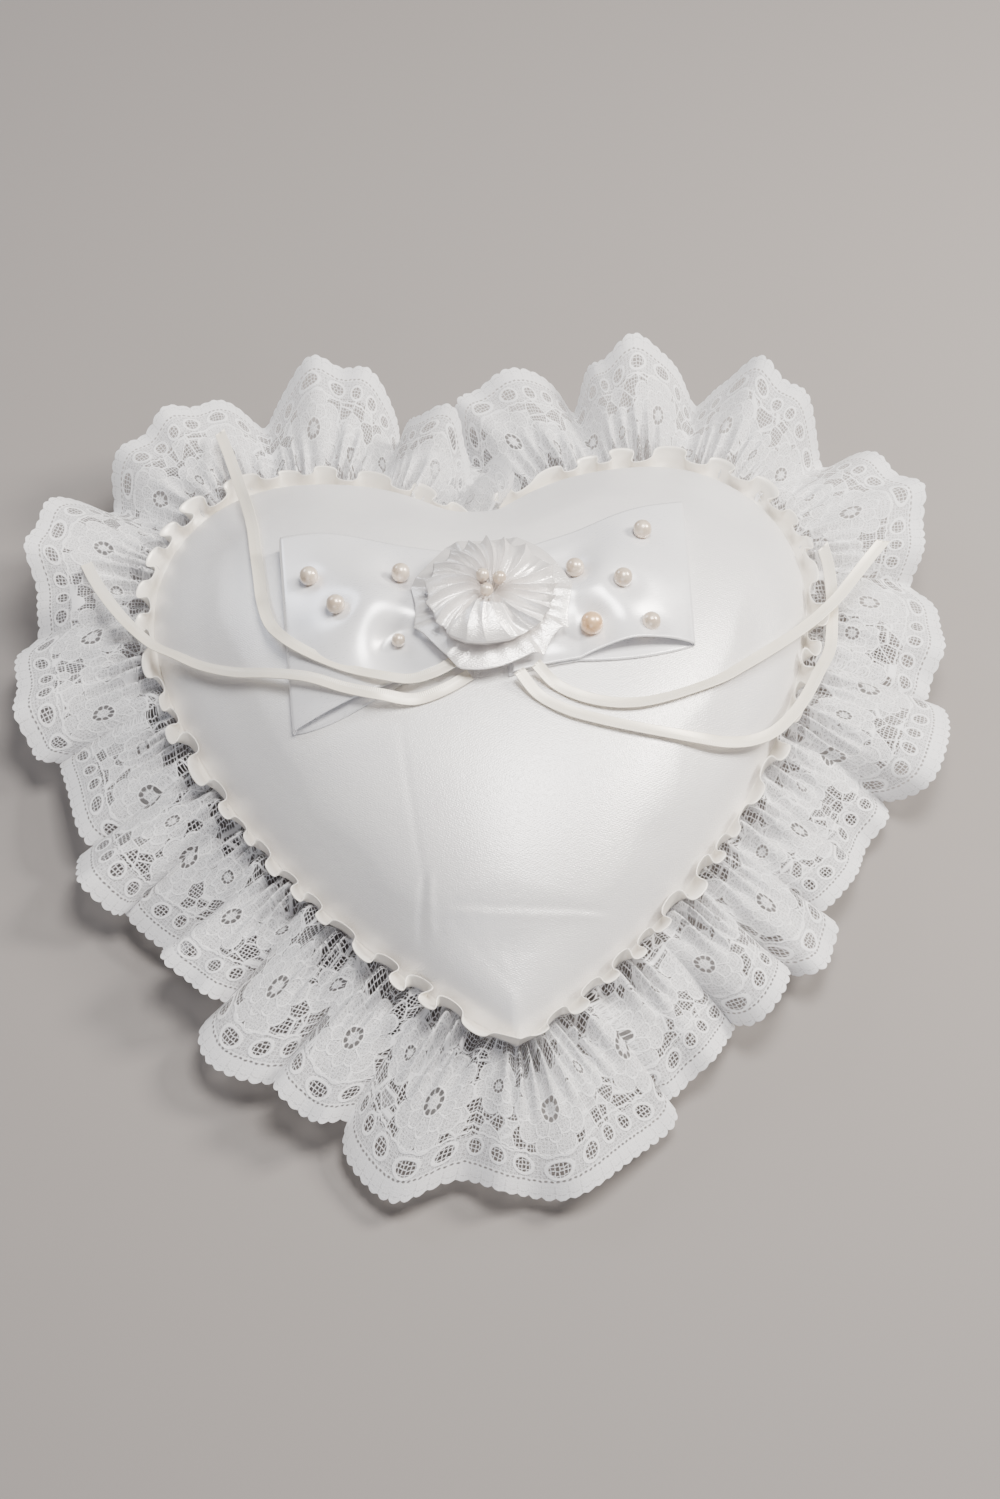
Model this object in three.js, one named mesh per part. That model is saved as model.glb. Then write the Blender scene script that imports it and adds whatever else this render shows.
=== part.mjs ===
// A ring bearer pillow: a stuffed satin heart with a gathered lace edging and a narrow ribbon
// ruffle in its seam, a flat bow of wide ribbon, a gathered rosette, pearls and four ring ties.
// Millimetres, +Z up. The origin is the middle of the flat patch that the pillow rests on,
// the heart's tip points to -Y and its notch to +Y.
import * as THREE from 'three';

// ---- Driving dimensions -------------------------------------------------------------------

// The heart, measured along its seam
const heartWidth = 177;
const heartLobeTop = 76; // how far the lobes reach behind the origin
const heartTip = 101; // how far the tip reaches in front of it
const notchDepth = 26.5; // from the lobes' tops down to the notch
const lobeSpacing = 100; // between the two lobes' tops
const widestBelowTop = 43; // from the lobes' tops down to the widest place
const centreY = -5; // the middle that the panels are drawn round

// The stuffed height
const seamHeight = 25;
const domeHeight = 34; // the top panel above the seam
const bellyDepth = 34; // the back panel below the seam, were it not flattened by its rest
const domeFullness = 2.4;
const domeEdge = 0.62;
const satinWall = 0.8;
const clearance = 0.3; // between pieces that touch
const headingThickness = 0.6; // of what is sewn into the seam
const headingWidth = 3; // how far it reaches into the seam

// The lace edging
const laceReach = 36; // beyond the seam, as it lies
const laceThickness = 0.8;
const laceFolds = 20;
const laceDroop = 12; // how far its outer edge hangs below the seam
const laceFoldHeight = 8; // of a fold at the outer edge, up and down

// The narrow ribbon ruffle that stands round the seam
const trimHeight = 6;
const trimLean = 2.6; // how far it leans out from the seam
const trimFoot = 1.2; // how far it lies flat beyond the seam before it stands up
const trimFolds = 56;
const trimFoldDepth = 0.9;

// The bow
const bowMiddleX = 1;
const bowLoopLength = 52;
// For each loop: where the middle of its ribbon lies under the rosette and at its fold, and its
// width at both, where it is drawn together and where it is spread
const bowLeft = { rootY: 8, endY: 7, rootWidth: 34, endWidth: 58 };
const bowRight = { rootY: 3, endY: 19, rootWidth: 38, endWidth: 46 };
const bowLift = 1.1; // of the ribbon's middle above the satin
const bowLayerGap = 1.2; // between the two layers under the rosette
const bowFrontPuff = 1.6; // between the layers along the front edge
const bowBackPuff = 4.5; // and along the back edge
const ribbonThickness = 0.5;

// The rosette
const rosetteCentre = [1, 5];
const rosetteBaseLift = 4.4; // of the disc above the top of the dome
const discRadius = 13;
const discThickness = 1;
const outerRuffleRadius = 21.5;
const outerRuffleBore = 6;
const outerRuffleThickness = 1;
const outerRuffleDroop = 1.2;
const outerRuffleFolds = 12;
const outerRuffleFoldHeight = 0.7;
const puffRadius = 16.5;
const puffHeight = 5;
const puffPleats = 18;
const puffPleatDepth = 0.5;

// The pearls
const smallPearl = 3.5;
const pearl = 5;
const largePearl = 6;
const tinyPearl = 3.6;

// The ring ties
const tieWidth = 3.2;
const tieThickness = 0.6;

// ---- The heart's outline ------------------------------------------------------------------

const notchY = heartLobeTop - notchDepth;
const widestY = heartLobeTop - widestBelowTop;
const halfWidth = heartWidth / 2;
const lobeX = lobeSpacing / 2;

// The right half from the notch over the lobe and the widest place to the tip, as three
// curves that share their tangents.
function heartHalf() {
  const path = new THREE.CurvePath();
  path.add(new THREE.CubicBezierCurve(
    new THREE.Vector2(0, notchY),
    new THREE.Vector2(0.12 * lobeX, notchY + 0.62 * notchDepth),
    new THREE.Vector2(0.52 * lobeX, heartLobeTop),
    new THREE.Vector2(lobeX, heartLobeTop)));
  path.add(new THREE.CubicBezierCurve(
    new THREE.Vector2(lobeX, heartLobeTop),
    new THREE.Vector2(lobeX + 0.55 * (halfWidth - lobeX), heartLobeTop),
    new THREE.Vector2(halfWidth, heartLobeTop - 0.42 * widestBelowTop),
    new THREE.Vector2(halfWidth, widestY)));
  path.add(new THREE.CubicBezierCurve(
    new THREE.Vector2(halfWidth, widestY),
    new THREE.Vector2(halfWidth, widestY - 0.27 * (widestY + heartTip)),
    new THREE.Vector2(0.6 * halfWidth, -0.66 * heartTip),
    new THREE.Vector2(0, -heartTip)));
  return path;
}

// The outline as its distance from the middle against the angle at the middle.
const outlineTable = heartHalf().curves.flatMap((curve) => curve.getPoints(60)).map((p) => ({
  angle: Math.atan2(p.y - centreY, p.x),
  radius: Math.hypot(p.x, p.y - centreY),
}));
outlineTable.sort((a, b) => a.angle - b.angle);

function outlineRadius(angle) {
  const folded = Math.atan2(Math.sin(angle), Math.abs(Math.cos(angle)));
  const next = outlineTable.findIndex((entry) => entry.angle >= folded);
  if (next <= 0) return next === 0 ? outlineTable[0].radius : outlineTable.at(-1).radius;
  const low = outlineTable[next - 1];
  const high = outlineTable[next];
  const share = (folded - low.angle) / (high.angle - low.angle || 1);
  return low.radius + share * (high.radius - low.radius);
}

// The same outline with its notch and tip smoothed away, by averaging over a window of angles.
const smoothWindow = THREE.MathUtils.degToRad(42);
function smoothRadius(angle) {
  const samples = 13;
  let sum = 0;
  let weight = 0;
  for (let i = 0; i < samples; i++) {
    const place = (2 * i) / (samples - 1) - 1;
    const share = Math.cos((place * Math.PI) / 2 * 0.95);
    sum += share * outlineRadius(angle + place * smoothWindow);
    weight += share;
  }
  return sum / weight;
}

// Level r runs from 0 at the middle to 1 at the seam, and takes on the heart's notch on the way.
function levelRadius(level, angle, outline = outlineRadius(angle), smooth = smoothRadius(angle)) {
  return level * (smooth + (outline - smooth) * level * level);
}

function fullness(level) {
  return Math.pow(Math.max(0, 1 - Math.pow(level, domeFullness)), domeEdge);
}

// The top panel's height over a place in plan, found by halving the range of levels.
function topHeight(x, y) {
  const angle = Math.atan2(y - centreY, x);
  const distance = Math.hypot(x, y - centreY);
  const outline = outlineRadius(angle);
  const smooth = smoothRadius(angle);
  let low = 0;
  let high = 1;
  for (let i = 0; i < 30; i++) {
    const middle = (low + high) / 2;
    if (levelRadius(middle, angle, outline, smooth) < distance) low = middle;
    else high = middle;
  }
  return seamHeight + domeHeight * fullness((low + high) / 2);
}

// ---- Ways to make closed solids -----------------------------------------------------------

// A closed geometry from vertices and triangles, turned to face out if it came out inside out.
function solid(vertices, triangles) {
  let volume = 0;
  for (const [a, b, c] of triangles) {
    volume += vertices[a].dot(new THREE.Vector3().crossVectors(vertices[b], vertices[c]));
  }
  const faces = volume < 0 ? triangles.map(([a, b, c]) => [a, c, b]) : triangles;
  const geometry = new THREE.BufferGeometry();
  geometry.setAttribute('position',
    new THREE.Float32BufferAttribute(vertices.flatMap((v) => [v.x, v.y, v.z]), 3));
  geometry.setIndex(faces.flat());
  geometry.computeVertexNormals();
  return geometry;
}

// Rings of equally many points, the first and the last a single point, joined into a ball-like
// solid.
function ringSolid(rings) {
  const vertices = rings.flat();
  const count = rings[1].length;
  const triangles = [];
  const index = (ring, i) => (ring === 0 ? 0 : 1 + (ring - 1) * count + (i % count));
  const last = rings.length - 1;
  for (let ring = 0; ring < last; ring++) {
    for (let i = 0; i < count; i++) {
      const a = index(ring, i);
      const b = index(ring, i + 1);
      const d = ring + 1 === last ? vertices.length - 1 : index(ring + 1, i);
      const c = ring + 1 === last ? vertices.length - 1 : index(ring + 1, i + 1);
      if (ring === 0) triangles.push([a, d, c]);
      else if (ring + 1 === last) triangles.push([a, d, b]);
      else triangles.push([a, d, c], [a, c, b]);
    }
  }
  return solid(vertices, triangles);
}

// Two triangles for a quad a, b, c, d. A sheet's upper side is split from a to c and its lower
// side from b to d, which lie over each other, so that the sheet keeps its thickness.
function quad(upper, a, b, c, d) {
  return upper ? [[a, b, c], [a, c, d]] : [[a, b, d], [b, c, d]];
}

// Equal closed sections, one after another round a closed path. Each runs along the sheet's
// upper side and back along its lower side.
function hoopSolid(sections) {
  const count = sections[0].length;
  const triangles = [];
  const index = (section, i) => (section % sections.length) * count + (i % count);
  for (let section = 0; section < sections.length; section++) {
    for (let i = 0; i < count; i++) {
      triangles.push(...quad(i < count / 2, index(section, i), index(section + 1, i),
        index(section + 1, i + 1), index(section, i + 1)));
    }
  }
  return solid(sections.flat(), triangles);
}

// A closed section round a strip's middle line, half a thickness to either side of it.
function stripSection(line, thickness) {
  const above = [];
  const below = [];
  line.forEach((point, i) => {
    const ahead = line[Math.min(i + 1, line.length - 1)];
    const behind = line[Math.max(i - 1, 0)];
    const along = new THREE.Vector2(ahead.d - behind.d, ahead.z - behind.z).normalize();
    above.push({ d: point.d - along.y * thickness / 2, z: point.z + along.x * thickness / 2 });
    below.unshift({ d: point.d + along.y * thickness / 2, z: point.z - along.x * thickness / 2 });
  });
  return [...above, ...below];
}

// A sheet with a thickness, from rows of points on its middle surface.
function sheetSolid(rows, thickness) {
  const height = rows.length;
  const width = rows[0].length;
  const normalAt = (i, j) => {
    const along = new THREE.Vector3().subVectors(
      rows[Math.min(i + 1, height - 1)][j], rows[Math.max(i - 1, 0)][j]);
    const across = new THREE.Vector3().subVectors(
      rows[i][Math.min(j + 1, width - 1)], rows[i][Math.max(j - 1, 0)]);
    return along.cross(across).normalize().multiplyScalar(thickness / 2);
  };
  const sections = rows.map((row, i) => [
    ...row.map((point, j) => point.clone().add(normalAt(i, j))),
    ...row.map((point, j) => point.clone().sub(normalAt(i, j))).reverse(),
  ]);
  const count = 2 * width;
  const triangles = [];
  for (let i = 0; i + 1 < height; i++) {
    for (let j = 0; j < count; j++) {
      const next = (j + 1) % count;
      const row = i * count;
      triangles.push(...quad(j < width, row + j, row + count + j, row + count + next, row + next));
    }
  }
  const end = (height - 1) * count;
  for (let j = 0; j + 1 < width; j++) {
    const back = count - 1 - j;
    triangles.push([j, j + 1, back - 1], [j, back - 1, back]);
    triangles.push([end + j, end + back - 1, end + j + 1], [end + j, end + back, end + back - 1]);
  }
  return solid(sections.flat(), triangles);
}

function polar(angle, radius, z) {
  return new THREE.Vector3(radius * Math.cos(angle), centreY + radius * Math.sin(angle), z);
}

function anglesOf(count) {
  return Array.from({ length: count }, (_, i) => (2 * Math.PI * i) / count - Math.PI / 2);
}

// ---- Materials ----------------------------------------------------------------------------

function finish(color, roughness) {
  return new THREE.MeshStandardMaterial({ color, roughness, metalness: 0 });
}

const whiteSatin = finish(0xf1eef2, 0.38);
const bowSatin = finish(0xf3f0f4, 0.35);
const rosetteSatin = finish(0xf5f0ef, 0.33);
const ivorySatin = finish(0xece4d8, 0.42);
const creamSatin = finish(0xe9dfcd, 0.45);
const whiteLace = finish(0xefedef, 0.8);
const fibre = finish(0xf4f4f2, 0.95);
const felt = finish(0xf0ede8, 0.9);
const ivoryPearl = finish(0xe9dccb, 0.2);
const peachPearl = finish(0xe5c19a, 0.22);

const pillow = new THREE.Group();

function add(name, geometry, material) {
  const mesh = new THREE.Mesh(geometry, material);
  mesh.name = name;
  pillow.add(mesh);
  return mesh;
}

// ---- The panels and the filling -----------------------------------------------------------

const panelAngles = anglesOf(56);
const levels = [0.26, 0.5, 0.707, 0.866, 0.966];
const seamStack = 2 * headingThickness + 3 * clearance; // what lies between the two panels
const topRim = seamHeight + seamStack / 2;
const backRim = seamHeight - seamStack / 2;

// One ring of a panel, drawn in from the outer surface by inset.
function levelRing(level, inset, z) {
  return panelAngles.map((angle) => {
    const outline = outlineRadius(angle) - inset;
    return polar(angle, levelRadius(level, angle, outline, smoothRadius(angle) - inset), z);
  });
}

function topPanel() {
  const rise = domeHeight - seamStack / 2;
  const outer = levels.map((level) => levelRing(level, 0, topRim + rise * fullness(level)));
  const inner = levels.map((level) =>
    levelRing(level, satinWall, topRim + (rise - satinWall) * fullness(level)));
  return ringSolid([
    [polar(0, 0, topRim + rise)], ...outer, levelRing(1, 0, topRim),
    levelRing(1, satinWall, topRim), ...inner.reverse(), [polar(0, 0, topRim + rise - satinWall)],
  ]);
}

// The level at which the back panel meets the surface that it rests on.
const restShare = backRim / bellyDepth;
const restLevel = Math.pow(1 - Math.pow(restShare, 1 / domeEdge), 1 / domeFullness);
const backLevels = [0.3, 0.55, 0.8].map((share) => restLevel + share * (1 - restLevel));
backLevels.push(restLevel + 0.94 * (1 - restLevel));

function backPanel() {
  const outer = backLevels.map((level) =>
    levelRing(level, 0, Math.max(0, backRim - bellyDepth * fullness(level))));
  const inner = backLevels.map((level) => levelRing(level, satinWall,
    Math.max(satinWall, backRim - (bellyDepth - satinWall) * fullness(level))));
  return ringSolid([
    [polar(0, 0, satinWall)], levelRing(restLevel * 0.97, satinWall, satinWall), ...inner,
    levelRing(1, satinWall, backRim),
    levelRing(1, 0, backRim), ...outer.reverse(), levelRing(restLevel, 0, 0), [polar(0, 0, 0)],
  ]);
}

// The filling stops short of what is sewn into the seam.
function filling() {
  const gap = satinWall + clearance;
  const top = domeHeight - seamStack / 2 - gap;
  const edge = headingWidth + clearance;
  const upper = levels.map((level) =>
    levelRing(level, gap + edge * level * level, topRim + top * fullness(level) - clearance));
  const lower = backLevels.map((level) => levelRing(level, gap + edge * level * level,
    Math.max(gap, backRim - (bellyDepth - gap) * fullness(level) + clearance)));
  return ringSolid([
    [polar(0, 0, topRim + top - clearance)], ...upper, levelRing(1, gap + edge, seamHeight),
    ...lower.reverse(), levelRing(restLevel * 0.95, gap + edge, gap), [polar(0, 0, gap)],
  ]);
}

// ---- What is sewn into the seam -----------------------------------------------------------

const laceZ = seamHeight - clearance / 2 - headingThickness / 2;
const trimZ = seamHeight + clearance / 2 + headingThickness / 2;

// The lace lies flat in the seam, then droops outwards in folds that grow with the distance.
function laceHeight(angle, distance) {
  const share = Math.max(0, distance - 1) / (laceReach - 1);
  const fold = Math.cos(laceFolds * angle + 1.3 * Math.sin(3 * angle));
  return laceZ - laceDroop * Math.pow(share, 1.1) + laceFoldHeight * fold * Math.pow(share, 1.3);
}

function laceRuffle() {
  const distances = [-headingWidth, 1, 0.3 * laceReach, 0.65 * laceReach, laceReach];
  const sections = anglesOf(laceFolds * 6).map((angle) => {
    const line = distances.map((d) => ({ d, z: laceHeight(angle, d) }));
    const section = stripSection(line, laceThickness);
    section[0].z = laceZ + headingThickness / 2;
    section[1].z = laceZ + headingThickness / 2;
    section.at(-1).z = laceZ - headingThickness / 2;
    section.at(-2).z = laceZ - headingThickness / 2;
    return section.map(({ d, z }) => polar(angle, outlineRadius(angle) + d, z));
  });
  return hoopSolid(sections);
}

function ribbonTrim() {
  const sections = anglesOf(2 * trimFolds).map((angle, i) => {
    const fold = (i % 2 === 0 ? 1 : -1) * trimFoldDepth;
    const line = [
      { d: -headingWidth, z: trimZ },
      { d: trimFoot, z: trimZ },
      { d: trimFoot + 0.5 * (trimLean + fold), z: trimZ + 0.45 * trimHeight },
      { d: trimFoot + trimLean + fold, z: trimZ + trimHeight },
    ];
    return stripSection(line, headingThickness)
      .map(({ d, z }) => polar(angle, outlineRadius(angle) + d, z));
  });
  return hoopSolid(sections);
}

// ---- The bow ------------------------------------------------------------------------------

// The middle of a loop's ribbon and its width, s from 0 under the rosette to 1 at the fold.
function bowMiddleY(loop, s) {
  return THREE.MathUtils.lerp(loop.rootY, loop.endY, s);
}

function bowWidthAt(loop, s) {
  return THREE.MathUtils.lerp(loop.rootWidth, loop.endWidth, THREE.MathUtils.smoothstep(s, 0, 1));
}

// Where a place in plan lies on its loop: s along it, and w from -1 to 1 across the ribbon.
function bowPlace(x, y) {
  const s = Math.abs(x - bowMiddleX) / bowLoopLength;
  const loop = x < bowMiddleX ? bowLeft : bowRight;
  return { s, w: (2 * (y - bowMiddleY(loop, s))) / bowWidthAt(loop, s) };
}

// The gap between a loop's two layers, which part towards the end and the back edge.
function bowGap(s, w) {
  const puff = THREE.MathUtils.lerp(bowFrontPuff, bowBackPuff, (w + 1) / 2);
  return THREE.MathUtils.lerp(bowLayerGap, puff, THREE.MathUtils.smoothstep(s, 0.4, 0.85));
}

// One loop: along the satin, round the fold and back on top.
function bowLoop(loop) {
  const side = loop === bowLeft ? -1 : 1;
  const steps = [0.1, 0.3, 0.5, 0.72, 0.9, 1];
  const layers = [...steps.map((s) => [s, 0]), [1.02, 0.5], ...steps.reverse().map((s) => [s, 1])];
  const across = [-1, -0.5, 0, 0.5, 1];
  const rows = layers.map(([s, layer]) => across.map((w) => {
    const x = bowMiddleX + side * s * bowLoopLength;
    const y = bowMiddleY(loop, s) + (w * bowWidthAt(loop, s)) / 2;
    return new THREE.Vector3(x, y, topHeight(x, y) + bowLift + layer * bowGap(s, w));
  }));
  return sheetSolid(rows, ribbonThickness);
}

// The top of the bow over a place in plan, for what rests on it.
function bowTop(x, y) {
  const { s, w } = bowPlace(x, y);
  const gap = bowGap(Math.min(s, 1), THREE.MathUtils.clamp(w, -1, 1));
  return topHeight(x, y) + bowLift + gap + ribbonThickness / 2;
}

// ---- The rosette --------------------------------------------------------------------------

const discZ = seamHeight + domeHeight + rosetteBaseLift;
const ruffleZ = discZ + discThickness + clearance + outerRuffleThickness / 2;
const puffZ = ruffleZ + outerRuffleThickness / 2 + outerRuffleFoldHeight + clearance;

function around(angle, radius, z) {
  return new THREE.Vector3(
    rosetteCentre[0] + radius * Math.cos(angle), rosetteCentre[1] + radius * Math.sin(angle), z);
}

function outerRuffle() {
  const sections = anglesOf(4 * outerRuffleFolds).map((angle) => {
    const fold = Math.cos(outerRuffleFolds * angle);
    const line = [outerRuffleBore, discRadius, outerRuffleRadius].map((radius) => {
      const share = Math.max(0, radius - discRadius) / (outerRuffleRadius - discRadius);
      return { d: radius, z: ruffleZ + share * (outerRuffleFoldHeight * fold - outerRuffleDroop) };
    });
    return stripSection(line, outerRuffleThickness).map(({ d, z }) => around(angle, d, z));
  });
  return hoopSolid(sections);
}

function innerPuff() {
  const angles = anglesOf(2 * puffPleats);
  const ring = (share, height) => angles.map((angle, i) => {
    const pleat = (i % 2 === 0 ? 1 : -1) * puffPleatDepth * share;
    return around(angle, puffRadius * share + pleat, puffZ + height * puffHeight);
  });
  return ringSolid([
    [around(0, 0, puffZ + 0.8 * puffHeight)], ring(0.3, 0.86), ring(0.62, 1), ring(0.88, 0.75),
    ring(1, 0.35), ring(0.9, 0), [around(0, 0, puffZ)],
  ]);
}

// ---- The pearls ---------------------------------------------------------------------------

function pearlGeometry(diameter) {
  return new THREE.SphereGeometry(diameter / 2, 10, 7);
}

const puffTop = puffZ + puffHeight;
const rosettePearls = [[-1.9, 2.8], [2.3, 1.7], [-1.2, -1.9]];
const bowPearls = [
  { x: -45, y: 19.3, size: pearl },
  { x: -38.4, y: 7.4, size: pearl },
  { x: -21.4, y: 17.8, size: pearl },
  { x: -23, y: -3.4, size: tinyPearl },
  { x: 42.1, y: 28.1, size: pearl },
  { x: 23.4, y: 16, size: pearl },
  { x: 35.3, y: 10.6, size: pearl },
  { x: 41.6, y: -0.7, size: pearl },
  { x: 26.2, y: -2.1, size: largePearl },
];

// ---- The ring ties ------------------------------------------------------------------------

// What lies highest over a place in plan: the bow, the satin, the trim or the seam's height.
function coverHeight(x, y) {
  const { s, w } = bowPlace(x, y);
  if (s < 1.04 && Math.abs(w) < 1.04) return bowTop(x, y);
  const beyond = Math.hypot(x, y - centreY) - outlineRadius(Math.atan2(y - centreY, x));
  const besideTrim = beyond > -headingWidth && beyond < trimFoot + trimLean + trimFoldDepth;
  return Math.max(topHeight(x, y), besideTrim ? trimZ + trimHeight : 0);
}

// The highest cover under a tie's whole width, in whichever direction it runs.
function restHeight(x, y) {
  const half = tieWidth / 2;
  const places = [[0, 0], [half, 0], [-half, 0], [0, half], [0, -half]];
  return Math.max(...places.map(([dx, dy]) => coverHeight(x + dx, y + dy)));
}

// A tie's route: places in plan, each with the lift of the tie's middle above what lies there.
const leftOuterTie = [
  [-5.5, -14.2, 1.2], [-12.6, -18, 1.2], [-20, -19.8, 1.2], [-28, -18.8, 1.3],
  [-37, -15.6, 1.6], [-46, -11, 2], [-56, -5.8, 3.8], [-65.5, -0.8, 2],
  [-74.3, 5.7, 1.4], [-81.5, 12.5, 2.6], [-88, 19.5, 2.6], [-93.5, 26.5, 1.2],
  [-98.3, 34, 6.4], [-102.6, 42, 5.4], [-106, 50, 4.6], [-108.5, 58, 4],
];
const leftInnerTie = [
  [-9, -11.4, 1.2], [-14.4, -14.2, 1.2], [-20.6, -15.4, 1.2], [-28, -14, 2.2],
  [-36, -10.4, 1.4], [-44, -5.2, 1.2], [-51, 0.8, 1.4], [-55.6, 9, 3],
  [-57.6, 18, 1.8], [-58.4, 27.3, 1.3], [-59.2, 37, 1.2], [-60, 47.2, 1.2],
  [-61.4, 57, 1.2], [-63, 66, 1.8], [-65, 75.6, 3.4], [-67, 84, 8.6], [-69.4, 93, 7.4],
];
const rightOuterTie = [
  [11, -13.4, 1.2], [15.6, -17.8, 1.2], [21.6, -21.2, 1.2], [29.5, -22.8, 1.2],
  [36.5, -22.2, 1.2], [43.4, -20, 1.2], [51.8, -16, 1.2], [59.7, -11.2, 1.2],
  [66, -6, 1.3], [74.6, 1.8, 1.6], [83, 10.5, 2.8], [89.4, 16.4, 3.2],
  [95.2, 22.4, 8.8], [100.6, 29.4, 7.8], [105.6, 36, 7], [111, 42.6, 6.6],
];
const rightInnerTie = [
  [6.6, -15.2, 0.9], [11.2, -21, 1.2], [18.2, -25.4, 1.2], [26.7, -27.8, 1.2],
  [35.8, -29, 1.2], [45.1, -29.2, 1.2], [52, -28.8, 1.2], [58.8, -27.6, 1.2],
  [66, -24.8, 2.4], [72.4, -20.8, 4.6], [78.2, -15, 3.2], [83, -8.4, 2.4],
  [87.4, -0.6, 1.8], [91.6, 8, 5.6], [93.6, 17.6, 5], [94.8, 27, 5], [95.2, 36, 5],
  [94.6, 43, 5],
];

function tiePoints(route) {
  return route.map(([x, y, lift]) => new THREE.Vector3(x, y, restHeight(x, y) + lift));
}

// A smooth route whose section keeps its flat side up.
class TieRoute extends THREE.CatmullRomCurve3 {
  computeFrenetFrames(segments) {
    const tangents = [];
    const normals = [];
    const binormals = [];
    for (let i = 0; i <= segments; i++) {
      const tangent = this.getTangentAt(i / segments);
      const sideways = tangent.clone().cross(new THREE.Vector3(0, 0, 1)).normalize();
      tangents.push(tangent);
      normals.push(sideways.clone().cross(tangent).normalize());
      binormals.push(sideways);
    }
    return { tangents, normals, binormals };
  }
}

// The tie's section: flat, with its long sides rounded off to eight corners.
function tieSection() {
  const halfFlat = tieWidth / 2 - tieThickness / 2;
  const corner = tieThickness / 4;
  const shape = new THREE.Shape();
  shape.moveTo(tieThickness / 2, -halfFlat);
  shape.lineTo(tieThickness / 2, halfFlat);
  shape.lineTo(corner, tieWidth / 2);
  shape.lineTo(-corner, tieWidth / 2);
  shape.lineTo(-tieThickness / 2, halfFlat);
  shape.lineTo(-tieThickness / 2, -halfFlat);
  shape.lineTo(-corner, -tieWidth / 2);
  shape.lineTo(corner, -tieWidth / 2);
  shape.closePath();
  return shape;
}

const tieStep = 2.2 * tieWidth;
function ringTie(route) {
  const curve = new TieRoute(tiePoints(route), false, 'centripetal');
  const steps = Math.ceil(curve.getLength() / tieStep);
  return new THREE.ExtrudeGeometry(tieSection(), { steps, extrudePath: curve });
}

// ---- Assembly -----------------------------------------------------------------------------

add('satin_top_panel', topPanel(), whiteSatin);
add('satin_back_panel', backPanel(), whiteSatin);
add('fibre_filling', filling(), fibre);
add('lace_ruffle', laceRuffle(), whiteLace);
add('ribbon_ruffle_trim', ribbonTrim(), ivorySatin);
add('bow_left_loop', bowLoop(bowLeft), bowSatin);
add('bow_right_loop', bowLoop(bowRight), bowSatin);

const disc = add('rosette_backing_disc',
  new THREE.CylinderGeometry(discRadius, discRadius, discThickness, 24), felt);
disc.rotation.x = Math.PI / 2;
disc.position.set(...rosetteCentre, discZ + discThickness / 2);
add('rosette_outer_ruffle', outerRuffle(), rosetteSatin);
add('rosette_inner_puff', innerPuff(), rosetteSatin);

rosettePearls.forEach(([x, y], i) => {
  const bead = add(`rosette_pearl_${i + 1}`, pearlGeometry(smallPearl), ivoryPearl);
  bead.position.set(rosetteCentre[0] + x, rosetteCentre[1] + y,
    puffTop + clearance + smallPearl / 2);
});
bowPearls.forEach(({ x, y, size }, i) => {
  const bead = add(`bow_pearl_${i + 1}`, pearlGeometry(size),
    size === largePearl ? peachPearl : ivoryPearl);
  bead.position.set(x, y, bowTop(x, y) + clearance + size / 2);
});

add('ring_tie_left_outer', ringTie(leftOuterTie), creamSatin);
add('ring_tie_left_inner', ringTie(leftInnerTie), creamSatin);
add('ring_tie_right_outer', ringTie(rightOuterTie), creamSatin);
add('ring_tie_right_inner', ringTie(rightInnerTie), creamSatin);

export default pillow;
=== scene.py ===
"""A ring bearer pillow: a stuffed satin heart with gathered lace, a ribbon ruffle, a bow, a
rosette, pearls and four ring ties. Shapes are worked out in millimetres in the pillow's own
frame, and go into their meshes in metres."""
import math
from typing import NamedTuple

import bmesh
import bpy
import numpy as np
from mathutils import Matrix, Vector


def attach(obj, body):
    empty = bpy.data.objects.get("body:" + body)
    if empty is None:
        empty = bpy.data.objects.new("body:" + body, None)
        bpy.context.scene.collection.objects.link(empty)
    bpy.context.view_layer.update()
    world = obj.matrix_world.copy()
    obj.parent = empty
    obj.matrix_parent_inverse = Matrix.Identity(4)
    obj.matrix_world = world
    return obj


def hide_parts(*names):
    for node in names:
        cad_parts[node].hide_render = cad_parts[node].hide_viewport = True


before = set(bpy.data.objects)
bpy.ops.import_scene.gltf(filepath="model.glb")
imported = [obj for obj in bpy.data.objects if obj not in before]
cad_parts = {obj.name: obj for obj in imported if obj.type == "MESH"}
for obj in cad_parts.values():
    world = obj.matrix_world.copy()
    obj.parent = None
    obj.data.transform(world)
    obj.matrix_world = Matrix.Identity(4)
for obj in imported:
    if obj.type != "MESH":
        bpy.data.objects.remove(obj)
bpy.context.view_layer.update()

MM = 0.001
TAU = 2 * math.pi

# ---- Camera and lights ----------------------------------------------------------------------

CAMERA_AIM = Vector((0.002, -0.014, 0.025))
CAMERA_DISTANCE = 0.71
CAMERA_ELEVATION = math.radians(56.5)
CAMERA_TURN = math.radians(-4)


def set_up_camera():
    """The camera stands in front of the heart's tip, raised by its elevation and turned a little
    to the left."""
    level = math.cos(CAMERA_ELEVATION)
    away = Vector((math.sin(CAMERA_TURN) * level, -math.cos(CAMERA_TURN) * level,
                   math.sin(CAMERA_ELEVATION)))
    camera = bpy.data.objects.new("camera", bpy.data.cameras.new("camera"))
    camera.data.sensor_fit = "VERTICAL"
    camera.data.sensor_height = 36
    camera.data.lens = 65
    camera.data.clip_start = 0.01
    camera.location = CAMERA_AIM + CAMERA_DISTANCE * away
    camera.rotation_euler = (-away).to_track_quat("-Z", "Y").to_euler()
    bpy.context.collection.objects.link(camera)
    bpy.context.scene.camera = camera


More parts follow.
